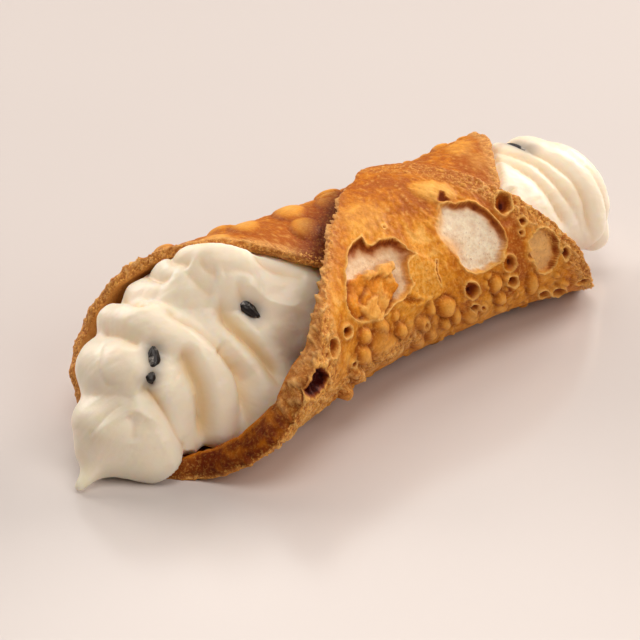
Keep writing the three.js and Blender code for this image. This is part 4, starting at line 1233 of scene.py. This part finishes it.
def clouded_floor(tree, colour):
    """Clouds and specks on the pale floors of the big blisters."""
    pale = attribute(tree, "pale")
    colour = speckled(tree, colour, CLOUD, (420, 5, 0.7), (0.45, 0.7), times(tree, pale, 0.5))
    return speckled(tree, colour, BROWN, (1600, 3, 0.6), (0.64, 0.74), times(tree, pale, 0.6))


def painted_shade_and_rim_highlights(tree, colour):
    """Painted shade in the dark places and painted highlights on the rims, cut sharply out of smooth
    fields, with a wavering edge.
    """
    waver = spread(tree, noise(tree, 900, 3, 0.6), 0.3, 0.7, -0.12, 0.12)
    painted_shade = combined(tree, "ADD", attribute(tree, "painted_shade"), waver)
    colour = tinted(tree, colour, CHESTNUT, times(tree, spread(tree, painted_shade, 0.2, 0.45), 0.7))
    colour = tinted(tree, colour, DEEP, times(tree, spread(tree, painted_shade, 0.45, 0.65), 0.85))
    colour = tinted(tree, colour, HOLE_SHADE, spread(tree, painted_shade, 0.75, 0.95))
    away = combined(tree, "ABSOLUTE", combined(tree, "ADD", attribute(tree, "rim"), waver))
    rim = times(tree, spread(tree, away, 0.06, 0.24, 1.0, 0.0), attribute(tree, "rimmed"))
    rim = times(tree, rim, spread(tree, noise(tree, 330, 3), 0.38, 0.6, 0.2, 1.0))
    return tinted(tree, colour, PALE_GRAIN_AND_HIGHLIGHT, times(tree, rim, 0.75)), rim


def crust_material():
    material, tree, shader = new_material("fried_crust")
    crumbly = attribute(tree, "crumbly")
    colour = crust_grain(tree, attribute(tree, "albedo", "Color"), crumbly)
    colour, rim = painted_shade_and_rim_highlights(tree, clouded_floor(tree, colour))
    tree.links.new(colour, shader.inputs["Base Color"])
    tree.links.new(spread(tree, noise(tree, 350, 4), 0.3, 0.7, 0.42, 0.65), shader.inputs["Roughness"])
    setting(shader, "Specular IOR Level", 0.14)
    glowing(shader, 0.08, (1.0, 0.45, 0.15), 0.0015)
    relief = times(tree, noise(tree, 1900, 4, 0.6), spread(tree, crumbly, 0.3, 1, 0.5, 1.2))
    relief = combined(tree, "ADD", relief, times(tree, rim, 0.5))
    bumped(tree, shader, relief, 0.7, 0.0004)
    return material


def cream_material():
    material, tree, shader = new_material("ricotta_cream")
    fold = spread(tree, attribute(tree, "fold"), 0.3, 1.6)
    # Painted shade in the folds, the more the deeper they are.
    colour = tinted(tree, CREAM, FOLD_SHADE, times(tree, fold, 0.75))
    smudge = spread(tree, attribute(tree, "smudge"), 0.1, 1.1)
    colour = tinted(tree, colour, STAINED_CREAM, times(tree, smudge, 0.8))
    tree.links.new(colour, shader.inputs["Base Color"])
    setting(shader, "Roughness", 0.38)
    setting(shader, "Specular IOR Level", 0.45)
    glowing(shader, 0.7, (1.0, 0.7, 0.42), 0.0035)
    bumped(tree, shader, noise(tree, 600, 4, 0.55), 0.25, 0.0003)
    return material


def chocolate_material():
    material, tree, shader = new_material("dark_chocolate")
    # Pale patches on the chips: cream smeared on them, and painted highlights.
    smear_and_highlight = spread(tree, noise(tree, 420, 3), 0.55, 0.67)
    colour = tinted(tree, CHOCOLATE, SMEAR_AND_HIGHLIGHT, times(tree, smear_and_highlight, 0.8))
    tree.links.new(colour, shader.inputs["Base Color"])
    setting(shader, "Roughness", 0.35)
    bumped(tree, shader, noise(tree, 1400, 3), 0.3, 0.0003)
    return material


def floor_material():
    material, tree, shader = new_material("pale_floor")
    tree.links.new(tinted(tree, FLOOR, FLOOR_SHADE, noise(tree, 3, 3)), shader.inputs["Base Color"])
    setting(shader, "Roughness", 0.2)
    return material


# --- Chips ------------------------------------------------------------------------------------------
def chip(name, beside, toward, length, width, sunk, seed):
    """A little drop of chocolate, lying in the cream."""
    place, outward = on_cream(beside)
    middle = place - outward * sunk
    long = unit(np.array(toward, float))
    wide = unit(np.cross(long, outward))
    deep = np.cross(wide, long)
    polar = np.linspace(0, math.pi, CHIP_RINGS + 2)[1:-1, None]
    turn = np.linspace(0, 2 * math.pi, CHIP_SIDES, endpoint=False)[None]
    narrow = 1 - 0.35 * np.cos(polar)
    wobble = 1 + 0.12 * fractal(np.cos(turn) * 2 + polar, np.sin(turn) * 2 - polar, 1.1, seed, 3)
    a = length / 2 * np.cos(polar) * wobble
    b = width / 2 * np.sin(polar) * narrow * np.cos(turn) * wobble
    c = width / 2 * np.sin(polar) * narrow * np.sin(turn) * wobble
    grid = middle + a[..., None] * long + b[..., None] * wide + c[..., None] * deep
    points = np.concatenate([grid.reshape(-1, 3), [middle + long * length / 2, middle - long * length / 2]])
    faces = ring_faces(CHIP_RINGS, CHIP_SIDES)
    return make_piece(name, points, faces, {}, chocolate, "chocolate", "filling")


crust = crust_material()
cream = cream_material()
chocolate = chocolate_material()
make_piece("crust", *shell_mesh(), crust, "crust", "shell")
make_piece("cream", *cream_mesh(), cream, "cream", "filling")
for values in CHIPS:
    chip(*values)


# --- Studio -----------------------------------------------------------------------------------------
WARM_WHITE = (1, 0.93, 0.86)
WORLD_LIGHT = 0.06
SOFT_BOX_AWAY, SOFT_BOX_SIZE = 0.8, 0.5
# Turn anticlockwise from +X and rise above the floor, in degrees, and power in watts.
SOFT_BOXES = [("right_back", 3, 27, 4.6), ("left_back", 103, 27, 3.6), ("back", 50, 50, 1.7),
              ("front", -85, 38, 2.4), ("top", -130, 75, 2.5)]
FLOOR_HALF = 3
CAMERA_TURN, CAMERA_RISE = -130.25, 30
CAMERA_AWAY, CAMERA_LENS, SENSOR_WIDTH = 0.4895, 130.5, 36
CAMERA_TARGET = Vector((-0.0163, 0, 0.0105))


def towards(turn, rise):
    """The direction out of the middle, anticlockwise from +X and above the floor, in degrees."""
    turn, rise = math.radians(turn), math.radians(rise)
    return Vector((math.cos(turn) * math.cos(rise), math.sin(turn) * math.cos(rise), math.sin(rise)))


def placed(name, data, at, direction):
    """A new object that looks back along the direction in which it lies."""
    made = bpy.data.objects.new(name, data)
    made.location = at
    made.rotation_euler = (-direction).to_track_quat("-Z", "Y").to_euler()
    bpy.context.scene.collection.objects.link(made)
    return made


def soft_box(name, turn, rise, power):
    data = bpy.data.lights.new(name, "AREA")
    data.shape = "DISK"
    data.size = SOFT_BOX_SIZE
    data.energy = power
    data.color = WARM_WHITE
    direction = towards(turn, rise)
    placed(name, data, direction * SOFT_BOX_AWAY, direction)


floor_mesh = bpy.data.meshes.new("floor")
corners = [(FLOOR_HALF * x, FLOOR_HALF * y, 0) for x, y in ((-1, -1), (1, -1), (1, 1), (-1, 1))]
floor_mesh.from_pydata(corners, [], [(0, 1, 2, 3)])
floor_mesh.materials.append(floor_material())
floor = bpy.data.objects.new("floor", floor_mesh)
bpy.context.scene.collection.objects.link(floor)

for values in SOFT_BOXES:
    soft_box(*values)

world = bpy.data.worlds.new("studio")
world.use_nodes = True
world.node_tree.nodes["Background"].inputs["Color"].default_value = (*WARM_WHITE, 1)
world.node_tree.nodes["Background"].inputs["Strength"].default_value = WORLD_LIGHT
bpy.context.scene.world = world
bpy.context.scene.view_settings.view_transform = "Standard"

lens = bpy.data.cameras.new("camera")
lens.lens = CAMERA_LENS
lens.sensor_width = SENSOR_WIDTH
back = towards(CAMERA_TURN, CAMERA_RISE)
bpy.context.scene.camera = placed("camera", lens, CAMERA_TARGET + back * CAMERA_AWAY, back)
